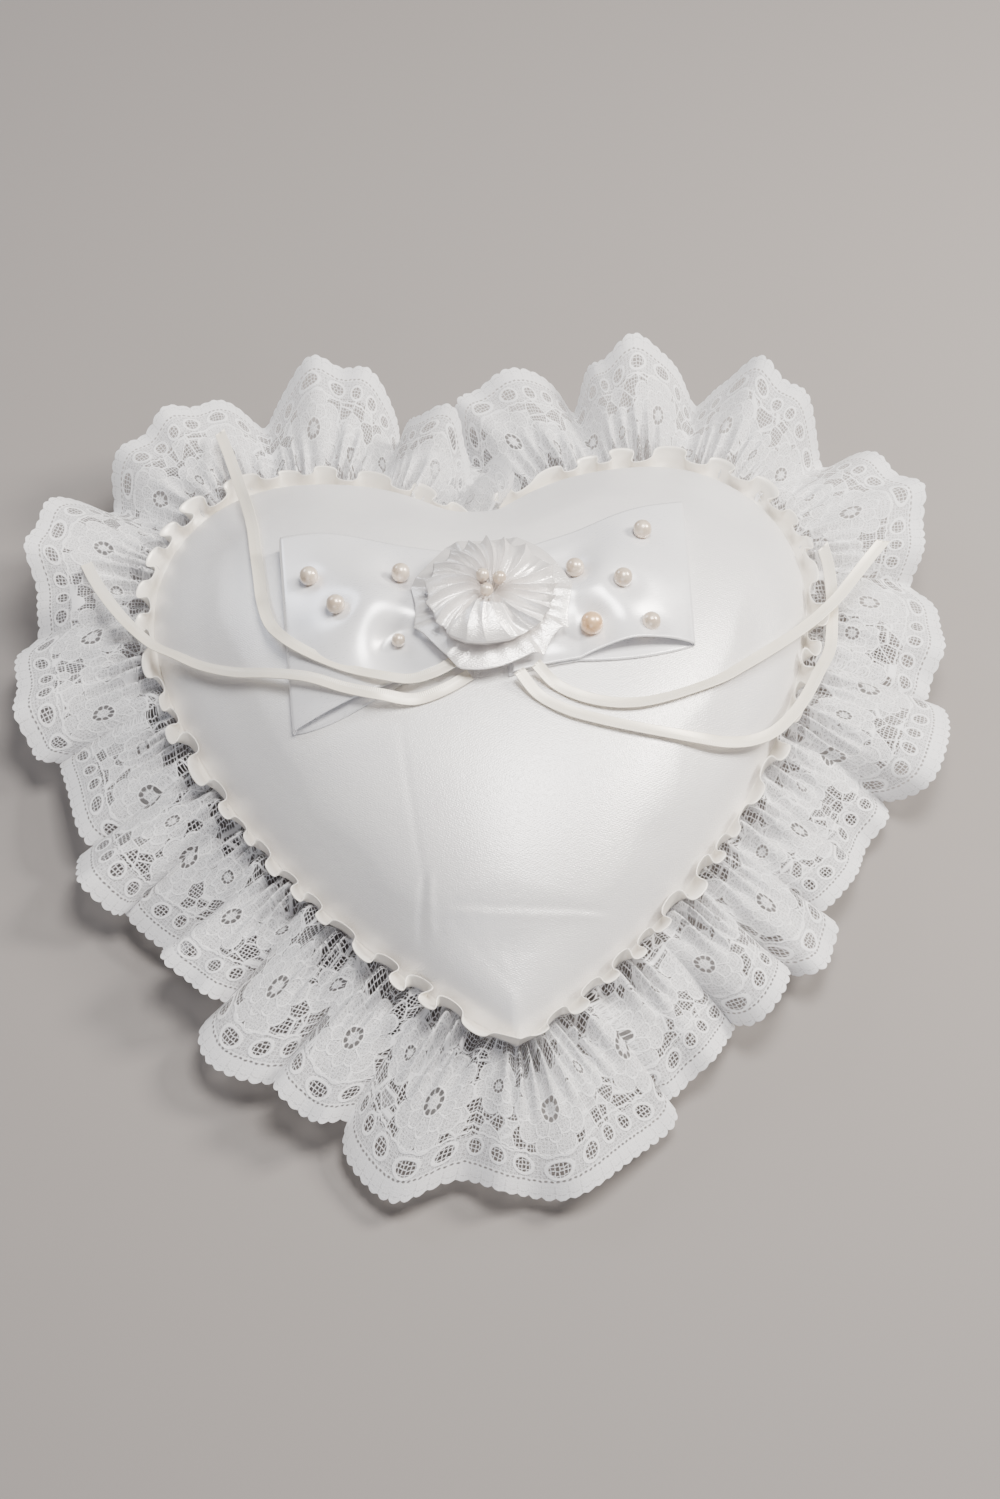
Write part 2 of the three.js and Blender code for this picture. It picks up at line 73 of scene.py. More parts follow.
def add_soft_light(name, place, size, power, color):
    """A square lamp that faces the middle of the pillow."""
    lamp = bpy.data.lights.new(name, "AREA")
    lamp.size = size
    lamp.energy = power
    lamp.color = color
    holder = bpy.data.objects.new(name, lamp)
    holder.location = place
    holder.rotation_euler = (Vector(place) - Vector((0, 0, 0.03))).to_track_quat("Z", "Y").to_euler()
    bpy.context.collection.objects.link(holder)


def set_up_lights():
    """A soft warm box overhead, a small key high to the right, and two weak cool ones."""
    add_soft_light("overhead", (0.13, 0.03, 0.78), 0.3, 8.8, (1, 0.97, 0.93))
    add_soft_light("key", (0.56, 0.1, 0.5), 0.2, 9, (1, 0.94, 0.86))
    add_soft_light("fill", (-0.5, 0.5, 0.5), 0.25, 1.8, (0.84, 0.89, 1))
    add_soft_light("front", (-0.2, -0.8, 0.35), 0.5, 2.0, (0.9, 0.92, 1))
    world = bpy.data.worlds.new("studio")
    world.use_nodes = True
    backdrop = world.node_tree.nodes["Background"]
    backdrop.inputs["Color"].default_value = (0.9, 0.9, 0.94, 1)
    backdrop.inputs["Strength"].default_value = 0.09
    bpy.context.scene.world = world


set_up_camera()
set_up_lights()

# ---- Meshes ---------------------------------------------------------------------------------


def grid_piece(name, points, round_u=False, round_v=False, uv=None):
    """A mesh from a grid of points (rows, columns, xyz), joined end to end in a direction that is
    round. Row i and column j are one corner of a quad whose others are the next row and column.
    uv holds a (u, v) for every corner, with one more row or column in a round direction."""
    rows, columns = points.shape[:2]
    i, j = np.meshgrid(np.arange(rows if round_u else rows - 1),
                       np.arange(columns if round_v else columns - 1), indexing="ij")
    around = [(i, j), (i + 1, j), (i + 1, j + 1), (i, j + 1)]
    quads = np.stack([(a % rows) * columns + b % columns for a, b in around], -1).reshape(-1, 4)
    mesh = bpy.data.meshes.new(name)
    mesh.vertices.add(rows * columns)
    mesh.vertices.foreach_set("co", (points.reshape(-1, 3) * MM).astype(np.float32).ravel())
    mesh.loops.add(quads.size)
    mesh.loops.foreach_set("vertex_index", quads.astype(np.int32).ravel())
    mesh.polygons.add(len(quads))
    mesh.polygons.foreach_set("loop_start", np.arange(0, quads.size, 4, dtype=np.int32))
    mesh.update(calc_edges=True)
    if uv is not None:
        layer = mesh.uv_layers.new(name="UVMap")
        corner = np.stack([uv[a, b] for a, b in around], 2).reshape(-1, 2)
        layer.data.foreach_set("uv", corner.astype(np.float32).ravel())
    mesh.polygons.foreach_set("use_smooth", np.ones(len(quads), bool))
    return link_mesh(name, merge_doubles(mesh))


def merge_doubles(mesh):
    """Joins the corners that lie on each other, at poles and where a grid meets itself."""
    work = bmesh.new()
    work.from_mesh(mesh)
    bmesh.ops.remove_doubles(work, verts=work.verts, dist=1e-6)
    work.to_mesh(mesh)
    work.free()
    mesh.validate()
    return mesh


def link_mesh(name, mesh):
    piece = bpy.data.objects.new(name, mesh)
    bpy.context.collection.objects.link(piece)
    return piece


def apply_modifiers(piece):
    """Puts the shape that the modifiers make into the mesh, and leaves none of them."""
    settled = piece.evaluated_get(bpy.context.evaluated_depsgraph_get())
    mesh = bpy.data.meshes.new_from_object(settled)
    piece.modifiers.clear()
    piece.data = mesh


def thicken(piece, thickness):
    """Gives a sheet its thickness, half to either side."""
    wall = piece.modifiers.new("thickness", "SOLIDIFY")
    wall.thickness = thickness * MM
    wall.offset = 0


def finish_piece(piece, material, slot, *nodes):
    """Gives a piece its material, and puts it in the place of its CAD nodes. Its slot is not used."""
    piece.data.materials.clear()
    piece.data.materials.append(material)
    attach(piece, "root")
    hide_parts(*nodes)


def lerp(a, b, share):
    return a + (b - a) * share


def ease(low, high, value):
    """0 below low, 1 above high, and a smooth step between."""
    share = np.clip((value - low) / (high - low), 0, 1)
    return share * share * (3 - 2 * share)


def grid_of(*values):
    """Values that each vary along a grid's rows, its columns or both, as one array whose last
    direction goes from value to value."""
    return np.stack(np.broadcast_arrays(*values), -1).astype(float)


def run_along(steps):
    """How far along each place is, from 0, when the steps between the places are given."""
    return np.concatenate([[0], np.cumsum(steps)])


# ---- Materials ------------------------------------------------------------------------------


class Field:
    """A number that varies over a surface, held as a node's output, so that patterns can be
    written as sums and products."""

    def __init__(self, tree, socket):
        self.tree = tree
        self.socket = socket

    def node(self, operation, *others, clamp=False):
        node = self.tree.nodes.new("ShaderNodeMath")
        node.operation = operation
        node.use_clamp = clamp
        for slot, value in zip(node.inputs, (self, *others)):
            if isinstance(value, Field):
                self.tree.links.new(value.socket, slot)
            else:
                slot.default_value = value
        return Field(self.tree, node.outputs[0])

    def __add__(self, other):
        return self.node("ADD", other)

    def __sub__(self, other):
        return self.node("SUBTRACT", other)

    def __mul__(self, other):
        return self.node("MULTIPLY", other)

    def __rsub__(self, other):
        return self.node("MULTIPLY_ADD", -1, other)

    def power(self, other):
        return self.node("POWER", other)

    def fract(self):
        return self.node("FRACT")

    def abs(self):
        return self.node("ABSOLUTE")

    def sin(self):
        return self.node("SINE")

    def cos(self):
        return self.node("COSINE")

    def maximum(self, other):
        return self.node("MAXIMUM", other)

    def distance(self, other):
        """The length of a line whose sides are this and other."""
        return (self * self + other * other).node("SQRT")

    def angle(self, other):
        """The angle whose sine side is this and cosine side is other."""
        return self.node("ARCTAN2", other)

    def below(self, edge, soft):
        """1 where this is under edge and 0 over it, with a ramp soft wide between."""
        return (edge - self).node("MULTIPLY_ADD", 1 / soft, 0.5, clamp=True)

    def near(self, place, reach, soft):
        """1 within reach of place and 0 beyond it."""
        return (self - place).abs().below(reach, soft)


class Finish:
    """A material on a Principled shader, with the fields that its pattern is made of."""

    def __init__(self, name, color, roughness, **constants):
        self.material = bpy.data.materials.new(name)
        self.material.use_nodes = True
        self.tree = self.material.node_tree
        self.shader = self.tree.nodes["Principled BSDF"]
        self.shader.inputs["Base Color"].default_value = (*color, 1)
        self.shader.inputs["Roughness"].default_value = roughness
        for key, value in constants.items():
            self.shader.inputs[key.replace("_", " ")].default_value = value

    def coordinates(self, kind):
        """The three fields of the Object coordinates or the UV map."""
        node = self.tree.nodes.new("ShaderNodeTexCoord")
        split = self.tree.nodes.new("ShaderNodeSeparateXYZ")
        self.tree.links.new(node.outputs[kind], split.inputs[0])
        return [Field(self.tree, out) for out in split.outputs]

    def joined(self, x, y, z=None):
        node = self.tree.nodes.new("ShaderNodeCombineXYZ")
        for slot, value in zip(node.inputs, (x, y, z)):
            if value is not None:
                self.tree.links.new(value.socket, slot)
        return node.outputs[0]

    def noise(self, scale, detail, place=None):
        """Soft blotches, scale to the metre, over the Object coordinates or a given place."""
        node = self.tree.nodes.new("ShaderNodeTexNoise")
        node.inputs["Scale"].default_value = scale
        node.inputs["Detail"].default_value = detail
        if place is None:
            place = self.tree.nodes.new("ShaderNodeTexCoord").outputs["Object"]
        self.tree.links.new(place, node.inputs["Vector"])
        return Field(self.tree, node.outputs["Fac"])

    def cells(self, place, cell_scale, randomness):
        """A node that parts a place into cells, so many to the unit of the place."""
        node = self.tree.nodes.new("ShaderNodeTexVoronoi")
        node.inputs["Scale"].default_value = cell_scale
        node.inputs["Randomness"].default_value = randomness
        self.tree.links.new(place, node.inputs["Vector"])
        return node

    def net(self, place, cell_scale, randomness):
        """The distance to the nearest thread of a net whose holes are cells."""
        node = self.cells(place, cell_scale, randomness)
        node.feature = "DISTANCE_TO_EDGE"
        return Field(self.tree, node.outputs["Distance"])

    def cell_number(self, place, cell_scale, randomness):
        """A number of its own, from 0 to 1, for each hole of such a net."""
        node = self.cells(place, cell_scale, randomness)
        split = self.tree.nodes.new("ShaderNodeSeparateColor")
        self.tree.links.new(node.outputs["Color"], split.inputs[0])
        return Field(self.tree, split.outputs[0])

    def color_from(self, field, low, high, stops):
        """A colour from low to high as the field goes from one stop to the other."""
        node = self.tree.nodes.new("ShaderNodeValToRGB")
        for stop, place, color in zip(node.color_ramp.elements, stops, (low, high)):
            stop.position = place
            stop.color = (*color, 1)
        self.tree.links.new(field.socket, node.inputs[0])
        self.tree.links.new(node.outputs[0], self.shader.inputs["Base Color"])

    def roughness_from(self, field, low, high):
        spread = field * (high - low) + low
        self.tree.links.new(spread.socket, self.shader.inputs["Roughness"])

    def alpha_from(self, field):
        self.tree.links.new(field.socket, self.shader.inputs["Alpha"])

    def bump_from(self, field, height, strength=1.0):
        """Raises the surface by the field times a height in millimetres."""
        node = self.tree.nodes.new("ShaderNodeBump")
        node.inputs["Strength"].default_value = strength
        node.inputs["Distance"].default_value = height * MM
        self.tree.links.new(field.socket, node.inputs["Height"])
        self.tree.links.new(node.outputs[0], self.shader.inputs["Normal"])


SATIN_THREADS = 2600  # to the metre
SATIN_RELIEF = 0.05   # how high its threads stand
SELVEDGE = 0.55       # the width of a ribbon's woven edge, and how far apart its ribs are
RIBBON_RELIEF = 0.06


def satin(name, low, high, roughness, lustre=0.24):
    """Satin: a weave of two sines at right angles, a grain drawn out along X, fine glints, and
    blotches where the threads lie a little differently."""
    finish = Finish(name, high, roughness, Metallic=lustre, Sheen_Weight=0.12, Sheen_Roughness=0.35)
    x, y, z = finish.coordinates("Object")
    blotch = finish.noise(38, 4)
    grain = finish.noise(900, 2, finish.joined(x * 0.35, y, z))
    glint = finish.noise(2600, 1)
    threads = ((y + z * 0.7) * (SATIN_THREADS * 0.5 * TAU)).sin()
    threads = threads * ((x + z * 0.7) * (SATIN_THREADS * 0.31 * TAU)).sin()
    finish.color_from(blotch * 0.75 + grain * 0.25, low, high, (0.3, 0.68))
    finish.roughness_from(blotch * 0.5 + grain * 0.5, roughness - 0.07, roughness + 0.1)
    finish.bump_from(threads * 0.25 + grain * 0.8 + glint * 2.2, SATIN_RELIEF, 0.8)
    return finish.material


def ribbon_satin(name, low, high, roughness, width):
    """Ribbon: satin whose threads follow the piece's own UV map, u along it in millimetres and v
    across it from 0 to 1, with a firm woven edge on both sides, which the colour also lightens
    as a painted highlight, as if the edges caught the light."""
    finish = Finish(name, high, roughness, Metallic=0.22, Sheen_Weight=0.1, Sheen_Roughness=0.35)
    u, v, _ = finish.coordinates("UV")
    blotch = finish.noise(60, 3)
    grain = finish.noise(1, 2, finish.joined(u * 0.6, v * (width * 4.0)))
    selvedge_and_highlight = 1 - (v - 0.5).abs().below(0.5 - SELVEDGE / width, 0.2 / width)
    ribs = (u * (TAU / SELVEDGE)).sin() * selvedge_and_highlight
    # The woven edge's share of the colour is a painted highlight: it lightens the ribbon's edges as if they
    # caught the light
    finish.color_from(blotch * 0.7 + grain * 0.3 + selvedge_and_highlight * 0.2, low, high, (0.25, 0.62))
    finish.roughness_from(blotch * 0.4 + grain * 0.6, roughness - 0.06, roughness + 0.1)
    finish.bump_from(grain * 0.5 + selvedge_and_highlight * 0.5 + ribs * 0.5, RIBBON_RELIEF, 0.6)
    return finish.material


def pearl_finish(name, low, high):
    """Pearl: a clear coat over a nacre that shades from one cream to another in soft swirls."""
    finish = Finish(name, high, 0.28, Metallic=0.25, Coat_Weight=1.0, Coat_Roughness=0.06, Sheen_Weight=0.1)
    swirl = finish.noise(420, 3)
    finish.color_from(swirl, low, high, (0.3, 0.7))
    finish.roughness_from(swirl, 0.22, 0.36)
    return finish.material


# ---- The heart's outline and height ---------------------------------------------------------

HEART_WIDTH = 177.0
LOBE_TOP = 76.0
TIP = 101.0
NOTCH_DEPTH = 26.5
LOBE_X = 50.0
WIDEST_DROP = 43.0  # from the top of a lobe down to the widest place
WIDEST_Y = LOBE_TOP - WIDEST_DROP
CENTRE_Y = -5.0
SEAM_Z = 25.0
DOME = 34.0
BELLY = 34.0


def curve_points(a, b, c, d):
    """A cubic curve from a to d, drawn towards b and c on the way."""
    t = np.linspace(0, 1, 120)[:, None]
    a, b, c, d = map(np.array, (a, b, c, d))
    return (1 - t) ** 3 * a + 3 * (1 - t) ** 2 * t * b + 3 * (1 - t) * t * t * c + t ** 3 * d


def half_heart():
    """Angle and distance from the middle of points on the right half, in the order of angle."""
    notch = LOBE_TOP - NOTCH_DEPTH
    half = HEART_WIDTH / 2
    points = np.vstack([
        curve_points((0, notch), (0.12 * LOBE_X, notch + 0.62 * NOTCH_DEPTH),
                     (0.52 * LOBE_X, LOBE_TOP), (LOBE_X, LOBE_TOP)),
        curve_points((LOBE_X, LOBE_TOP), (LOBE_X + 0.55 * (half - LOBE_X), LOBE_TOP),
                     (half, LOBE_TOP - 0.42 * WIDEST_DROP), (half, WIDEST_Y)),
        curve_points((half, WIDEST_Y), (half, WIDEST_Y - 0.27 * (WIDEST_Y + TIP)),
                     (0.6 * half, -0.66 * TIP), (0, -TIP)),
    ])
    angle = np.arctan2(points[:, 1] - CENTRE_Y, points[:, 0])
    order = np.argsort(angle)
    return angle[order], np.hypot(points[:, 0], points[:, 1] - CENTRE_Y)[order]


HALF_ANGLE, HALF_RADIUS = half_heart()


def outline_radius(angle):
    """How far the seam is from the middle at an angle, the left half mirroring the right."""
    folded = np.arctan2(np.sin(angle), np.abs(np.cos(angle)))
    return np.interp(folded, HALF_ANGLE, HALF_RADIUS)


def smooth_radius(angle):
    """The outline averaged over 42 degrees to either side, which takes the notch and tip away."""
    place = np.linspace(-1, 1, 13)
    weight = np.cos(place * math.pi / 2 * 0.95)
    around = outline_radius(np.asarray(angle)[..., None] + place * math.radians(42))
    return (around * weight).sum(-1) / weight.sum()


def level_radius(level, outline, smooth):
    """Level 0 is the middle and 1 the seam; the outline takes over with the level's square."""
    return level * (smooth + (outline - smooth) * level * level)


def fullness(level):
    """How full the stuffing is, 1 in the middle and 0 at the seam, where it falls steeply."""
    return np.maximum(0, 1 - level ** 2.4) ** 0.62


def seam_level(x, y):
    """The level of a place in plan, by halving the range of levels thirty times."""
    x, y = np.broadcast_arrays(np.asarray(x, float), np.asarray(y, float))
    angle = np.arctan2(y - CENTRE_Y, x)
    distance = np.hypot(x, y - CENTRE_Y)
    outline, smooth = outline_radius(angle), smooth_radius(angle)
    low, high = np.zeros_like(x), np.ones_like(x)
    for _ in range(30):
        middle = (low + high) / 2
        short = level_radius(middle, outline, smooth) < distance
        low, high = np.where(short, middle, low), np.where(short, high, middle)
    return (low + high) / 2


def top_height(x, y):
    """The height of the satin over a place in plan."""
    return SEAM_Z + DOME * fullness(seam_level(x, y))


def seam_line(count):
    """Points round the seam at equal steps from the notch, counter-clockwise, with the outward
    direction smoothed over the notch and the tip, how far along each is, and the seam's length."""
    angle = math.pi / 2 + np.linspace(0, TAU, 4001)
    radius = outline_radius(angle)
    x, y = radius * np.cos(angle), CENTRE_Y + radius * np.sin(angle)
    run = run_along(np.hypot(np.diff(x), np.diff(y)))
    out = np.exp(1j * (np.angle(np.gradient(x + 1j * y)) - math.pi / 2))
    reach = 45
    window = np.hanning(2 * reach + 1)
    wrapped = np.concatenate([out[-reach - 1:-1], out, out[1:reach + 1]])
    out = np.convolve(wrapped, window / window.sum(), "valid")
    place = np.linspace(0, run[-1], count, endpoint=False)
    px, py, nx, ny = (np.interp(place, run, values) for values in (x, y, out.real, out.imag))
    size = np.maximum(np.hypot(nx, ny), 1e-6)
    return px, py, nx / size, ny / size, place, run[-1]


# ---- Ring ties ------------------------------------------------------------------------------

TIE_WIDTH = 3.2
TIE_HALF_THICKNESS = 0.15
TIE_BOW = 0.16   # how far its edges stand above its middle
TIE_STEP = 0.8   # between the rings of its mesh

LEFT_OUTER_TIE = [
    (-5.5, -14.2, 60.1), (-12.6, -18, 59.6), (-20, -19.8, 58.8), (-28, -18.8, 60.3),
    (-37, -15.6, 59.6), (-46, -11, 58.5), (-56, -5.8, 53.8), (-65.5, -0.8, 48),
    (-74.3, 5.7, 42.5), (-81.5, 12.5, 38.5), (-88, 19.5, 34), (-93.5, 26.5, 32.6),
    (-98.3, 34, 31.4), (-102.6, 42, 30.4), (-106, 50, 29.6), (-108.5, 58, 29)]
LEFT_INNER_TIE = [
    (-9, -11.4, 62.6), (-14.4, -14.2, 62.2), (-20.6, -15.4, 61.5), (-28, -14, 61.8),
    (-36, -10.4, 60.4), (-44, -5.2, 59.3), (-51, 0.8, 58.3), (-55.6, 9, 54.7),
    (-57.6, 18, 52.8), (-58.4, 27.3, 51.4), (-59.2, 37, 49.6), (-60, 47.2, 46.8),
    (-61.4, 57, 42.8), (-63, 66, 38), (-65, 75.6, 34.9), (-67, 84, 33.6), (-69.4, 93, 32.4)]
RIGHT_OUTER_TIE = [
    (11, -13.4, 62.4), (15.6, -17.8, 59.4), (21.6, -21.2, 58.4), (29.5, -22.8, 56.9),
    (36.5, -22.2, 55.3), (43.4, -20, 53.5), (51.8, -16, 51), (59.7, -11.2, 48.2),
    (66, -6, 45.7), (74.6, 1.8, 41.5), (83, 10.5, 36.2), (89.4, 16.4, 34.6),
    (95.2, 22.4, 33.8), (100.6, 29.4, 32.8), (105.6, 36, 32), (111, 42.6, 31.6)]
RIGHT_INNER_TIE = [
    (6.6, -15.2, 62.2), (11.2, -21, 59.5), (18.2, -25.4, 58.4), (26.7, -27.8, 56.7),
    (35.8, -29, 54.1), (45.1, -29.2, 50.5), (52, -28.8, 47.1), (58.8, -27.6, 42.9),
    (66, -24.8, 38.7), (72.4, -20.8, 36), (78.2, -15, 34.6), (83, -8.4, 33.9),
    (87.4, -0.6, 33.3), (91.6, 8, 30.6), (93.6, 17.6, 30), (94.8, 27, 30),
    (95.2, 36, 30), (94.6, 43, 30)]


def smooth_route(route, step):
    """A curve through a route's points whose speed goes with the square root of their spacing,
    then taken at even steps along its length."""
    points = np.array(route, float)
    points = np.vstack([2 * points[0] - points[1], points, 2 * points[-1] - points[-2]])
    gap = np.linalg.norm(np.diff(points, axis=0), axis=1)[:, None] ** 0.5
    before, here, after = gap[:-2], gap[1:-1], gap[2:]
    a, b, c, d = points[:-3], points[1:-2], points[2:-1], points[3:]
    start = here * ((b - a) / before - (c - a) / (before + here) + (c - b) / here)
    end = here * ((c - b) / here - (d - b) / (here + after) + (d - c) / after)
    t = np.linspace(0, 1, 40, endpoint=False)[:, None, None]
    curve = (b * (2 * t ** 3 - 3 * t ** 2 + 1) + start * (t ** 3 - 2 * t ** 2 + t)
             + c * (3 * t ** 2 - 2 * t ** 3) + end * (t ** 3 - t ** 2))
    curve = np.vstack([curve.transpose(1, 0, 2).reshape(-1, 3), c[-1]])
    run = run_along(np.linalg.norm(np.diff(curve, axis=0), axis=1))
    place = np.linspace(0, run[-1], int(run[-1] / step) + 1)
    return np.stack([np.interp(place, run, curve[:, k]) for k in range(3)], -1), run[-1]


def ring_tie(name, route, seed, material):
    """A narrow ribbon carried flat along its route. Its section is a thin flat bar whose edges
    rise with the square of how far out they are, and it rocks about the route by a few slow
    waves. The far end is cut on the slant."""
    middle, length = smooth_route(route, TIE_STEP)
    run = np.linspace(0, length, len(middle))
    along = np.gradient(middle, axis=0)
    along /= np.linalg.norm(along, axis=1)[:, None]
    side = np.cross(along, (0, 0, 1.0))
    side /= np.linalg.norm(side, axis=1)[:, None]
    up = np.cross(side, along)
    rock = (0.10 * np.sin(run / 9 + seed) + 0.16 * np.sin(run / 23 + 2 * seed))[:, None]
    side, up = side * np.cos(rock) + up * np.sin(rock), up * np.cos(rock) - side * np.sin(rock)
    half = np.array([-1, -0.97, -0.88, -0.5, 0, 0.5, 0.88, 0.97])
    across = np.concatenate([half, -half])
    rise = np.repeat([1.0, -1.0], len(half)) * (np.abs(across) < 1) * TIE_HALF_THICKNESS
    rise = rise + TIE_BOW * across ** 2
    slant = np.zeros((len(middle), len(across)))
    slant[-3:] = np.array([0.3, 0.7, 1.0])[:, None] * across * 1.1
    points = (middle[:, None] + side[:, None] * (across * TIE_WIDTH / 2)[None, :, None]
              + up[:, None] * rise[None, :, None] + along[:, None] * slant[..., None])
    first, last = (np.broadcast_to(points[k].mean(0), (1, len(across), 3)) for k in (0, -1))
    points = np.concatenate([first, points, last])
    uv = grid_of(np.concatenate([run[:1], run, run[-1:]])[:, None],
                 np.append(across, across[0]) / 2 + 0.5)
    piece = grid_piece(name, points[:, ::-1], round_v=True, uv=uv[:, ::-1])
    finish_piece(piece, material, "cream_ribbon", "ring_" + name)


cream_ribbon = ribbon_satin("cream_ribbon", (0.82, 0.745, 0.61), (0.94, 0.88, 0.76), 0.38, TIE_WIDTH)
ring_tie("tie_left_outer", LEFT_OUTER_TIE, 0.3, cream_ribbon)
ring_tie("tie_left_inner", LEFT_INNER_TIE, 1.7, cream_ribbon)
ring_tie("tie_right_outer", RIGHT_OUTER_TIE, 2.9, cream_ribbon)
ring_tie("tie_right_inner", RIGHT_INNER_TIE, 4.1, cream_ribbon)

# ---- The stuffed heart ----------------------------------------------------------------------

RINGS, SPOKES = 88, 540
REST_Z = 0.3  # the flat patch that it rests on

# The cloth starts a little flatter than the heart, because it swells
CLOTH_RINGS, CLOTH_SPOKES = 40, 200
CLOTH_DOME = DOME * 0.955
CLOTH_BELLY = BELLY * 0.985
CLOTH_FRAMES = 20
CLOTH_VOXEL = 4.2
# The cloth is held this far inside the seam, over and under it, and over the rest
HELD_INSIDE, HELD_HEIGHT, HELD_REST = 7, 6, 1.5
# How far the heart's own rings may move to meet the cloth
LEAST_DRIFT = -3.2
MOST_DRIFT = (1.5, 1.5, 0.35)

# Each crease: its two ends, how wide and how deep it is, with a depth below nothing where the
# satin stands up, and how far its middle sags to the side
CREASES = [(-24, -24, -20, -68, 0.8, 0.13, 0.3), (-16, -71, 26, -72.4, 0.65, 0.34, 2.2),
           (-16, -72.2, 26, -73.6, 0.75, -0.3, 2.2), (-20, -63, -22, -78, 0.8, 0.4, 0.3),
           (-18.4, -64, -19, -77, 0.8, -0.3, 0.3), (-16, -72, 3, -93, 1.0, 0.1, 0.3),
           (52, 34, 46, 8, 3, 0.25, 0.3)]


def heart_shell(rings, spokes, dome, belly):
    """Both panels as one closed surface. Rows go from the middle of the top over the seam to the
    middle of the back, at levels that crowd towards the seam; columns go round the middle. Inside
    the seam each row is averaged along itself, so that the tip and notch die away softly. The
    back is cut off flat where it rests."""
    angle = np.linspace(0, TAU, spokes, endpoint=False) - math.pi / 2
    level = np.sin(np.linspace(0, math.pi / 2, rings))
    top = level[:, None] + 0 * angle
    under = top[-2::-1]
    outline, smooth = outline_radius(angle), smooth_radius(angle)
    radius = np.concatenate([level_radius(top, outline, smooth),
                             level_radius(under, outline, smooth)])
    wide = 2 * (spokes // 22) + 1
    window = np.hanning(wide + 2)[1:-1]
    wrapped = np.concatenate([radius[:, -(wide // 2):], radius, radius[:, :wide // 2]], 1)
    averaged = sum(w * wrapped[:, k:k + spokes] for k, w in enumerate(window / window.sum()))
    radius = lerp(averaged, radius, ease(0.8, 1.0, np.concatenate([top, under])))
    z = np.concatenate([SEAM_Z + dome * fullness(top),
                        np.maximum(REST_Z, SEAM_Z - belly * fullness(under))])
    return grid_of(radius * np.cos(angle), CENTRE_Y + radius * np.sin(angle), z)


def mesh_points(piece):
    """The places of a piece's corners, in millimetres."""
    places = np.empty(len(piece.data.vertices) * 3, np.float32)
    piece.data.vertices.foreach_get("co", places)
    return places.reshape(-1, 3).astype(float) / MM


def settle_stuffing(start):
    """Blows the shell up as cloth with its seam and its rest held, so that the satin strains
    between the seam and the stuffing, evens the cloth out, and returns it."""
    cloth = grid_piece("stuffing_try", start, round_v=True)
    remesh = cloth.modifiers.new("remesh", "REMESH")
    remesh.mode = "VOXEL"
    remesh.voxel_size = CLOTH_VOXEL * MM
    apply_modifiers(cloth)
    place = mesh_points(cloth)
    angle = np.arctan2(place[:, 1] - CENTRE_Y, place[:, 0])
    inside = outline_radius(angle) - np.hypot(place[:, 0], place[:, 1] - CENTRE_Y)
    held = (inside < HELD_INSIDE) & (np.abs(place[:, 2] - SEAM_Z) < HELD_HEIGHT)
    group = cloth.vertex_groups.new(name="seam")
    group.add(np.nonzero(held | (place[:, 2] < HELD_REST))[0].tolist(), 1.0, "REPLACE")
    fabric = cloth.modifiers.new("fabric", "CLOTH")
    fabric.settings.quality = 6
    fabric.settings.use_pressure = True
    fabric.settings.uniform_pressure_force = 4
    fabric.settings.effector_weights.gravity = 0
    fabric.settings.vertex_group_mass = "seam"
    fabric.settings.shrink_min = -0.035
    fabric.settings.bending_stiffness = 0.25
    fabric.collision_settings.use_collision = False
    scene = bpy.context.scene
    for step in range(CLOTH_FRAMES):
        scene.frame_set(step + 1)
    even = cloth.modifiers.new("even", "SMOOTH")
    even.factor = 0.5
    even.iterations = 26
    apply_modifiers(cloth)
    scene.frame_set(1)
    return cloth


def crease_depth(x, y):
    """How far the creases press the satin down. Each is a bell across its line, bent to the side
    by half a sine, and dies away towards both of its ends."""
    depth = 0
    for ax, ay, bx, by, wide, deep, sag in CREASES:
        dx, dy = bx - ax, by - ay
        share = ((x - ax) * dx + (y - ay) * dy) / (dx * dx + dy * dy)
        away = ((x - ax) * dy - (y - ay) * dx) / math.hypot(dx, dy)
        bend = away - sag * np.sin(math.pi * np.clip(share, 0, 1))
        fade = ease(-0.08, 0.2, share) * ease(1.08, 0.8, share)
        depth = depth + deep * np.exp(-(bend / wide) ** 2) * fade
    return depth


def stuffed_heart(material):
    """The closed heart, its rings drawn onto the settled cloth where that lies within reach, and
    the creases pressed into its top. A grid whose first and last rows are one point each keeps
    its order when they are merged, so the drawn rings are compared with the shell's own."""
    points = heart_shell(RINGS, SPOKES, DOME, BELLY)
    piece = grid_piece("heart_cushion", points, round_v=True)
    cloth = settle_stuffing(heart_shell(CLOTH_RINGS, CLOTH_SPOKES, CLOTH_DOME, CLOTH_BELLY))
    cling = piece.modifiers.new("cling", "SHRINKWRAP")
    cling.target = cloth
    cling.wrap_method = "TARGET_PROJECT"
    apply_modifiers(piece)
    bpy.data.objects.remove(cloth)
    shell = np.concatenate([points[:1, 0], points[1:-1].reshape(-1, 3), points[-1:, 0]])
    level = seam_level(shell[:, 0], shell[:, 1])
    drift = np.clip(mesh_points(piece) - shell, LEAST_DRIFT, MOST_DRIFT)
    shell = shell + drift * ease(1.0, 0.82, level)[:, None]
    top = shell[:, 2] > SEAM_Z + 0.5
    shell[:, 2] -= np.where(top, crease_depth(shell[:, 0], shell[:, 1]), 0)
    shell[:, 2] = np.maximum(shell[:, 2], 0.2)
    piece.data.vertices.foreach_set("co", (shell * MM).astype(np.float32).ravel())
    piece.data.update()
    finish_piece(piece, material, "white_satin", "satin_top_panel", "satin_back_panel",
                 "fibre_filling")


white_satin = satin("white_satin", (0.85, 0.83, 0.84), (0.92, 0.905, 0.89), 0.38)
stuffed_heart(white_satin)

# ---- Lace edging ----------------------------------------------------------------------------

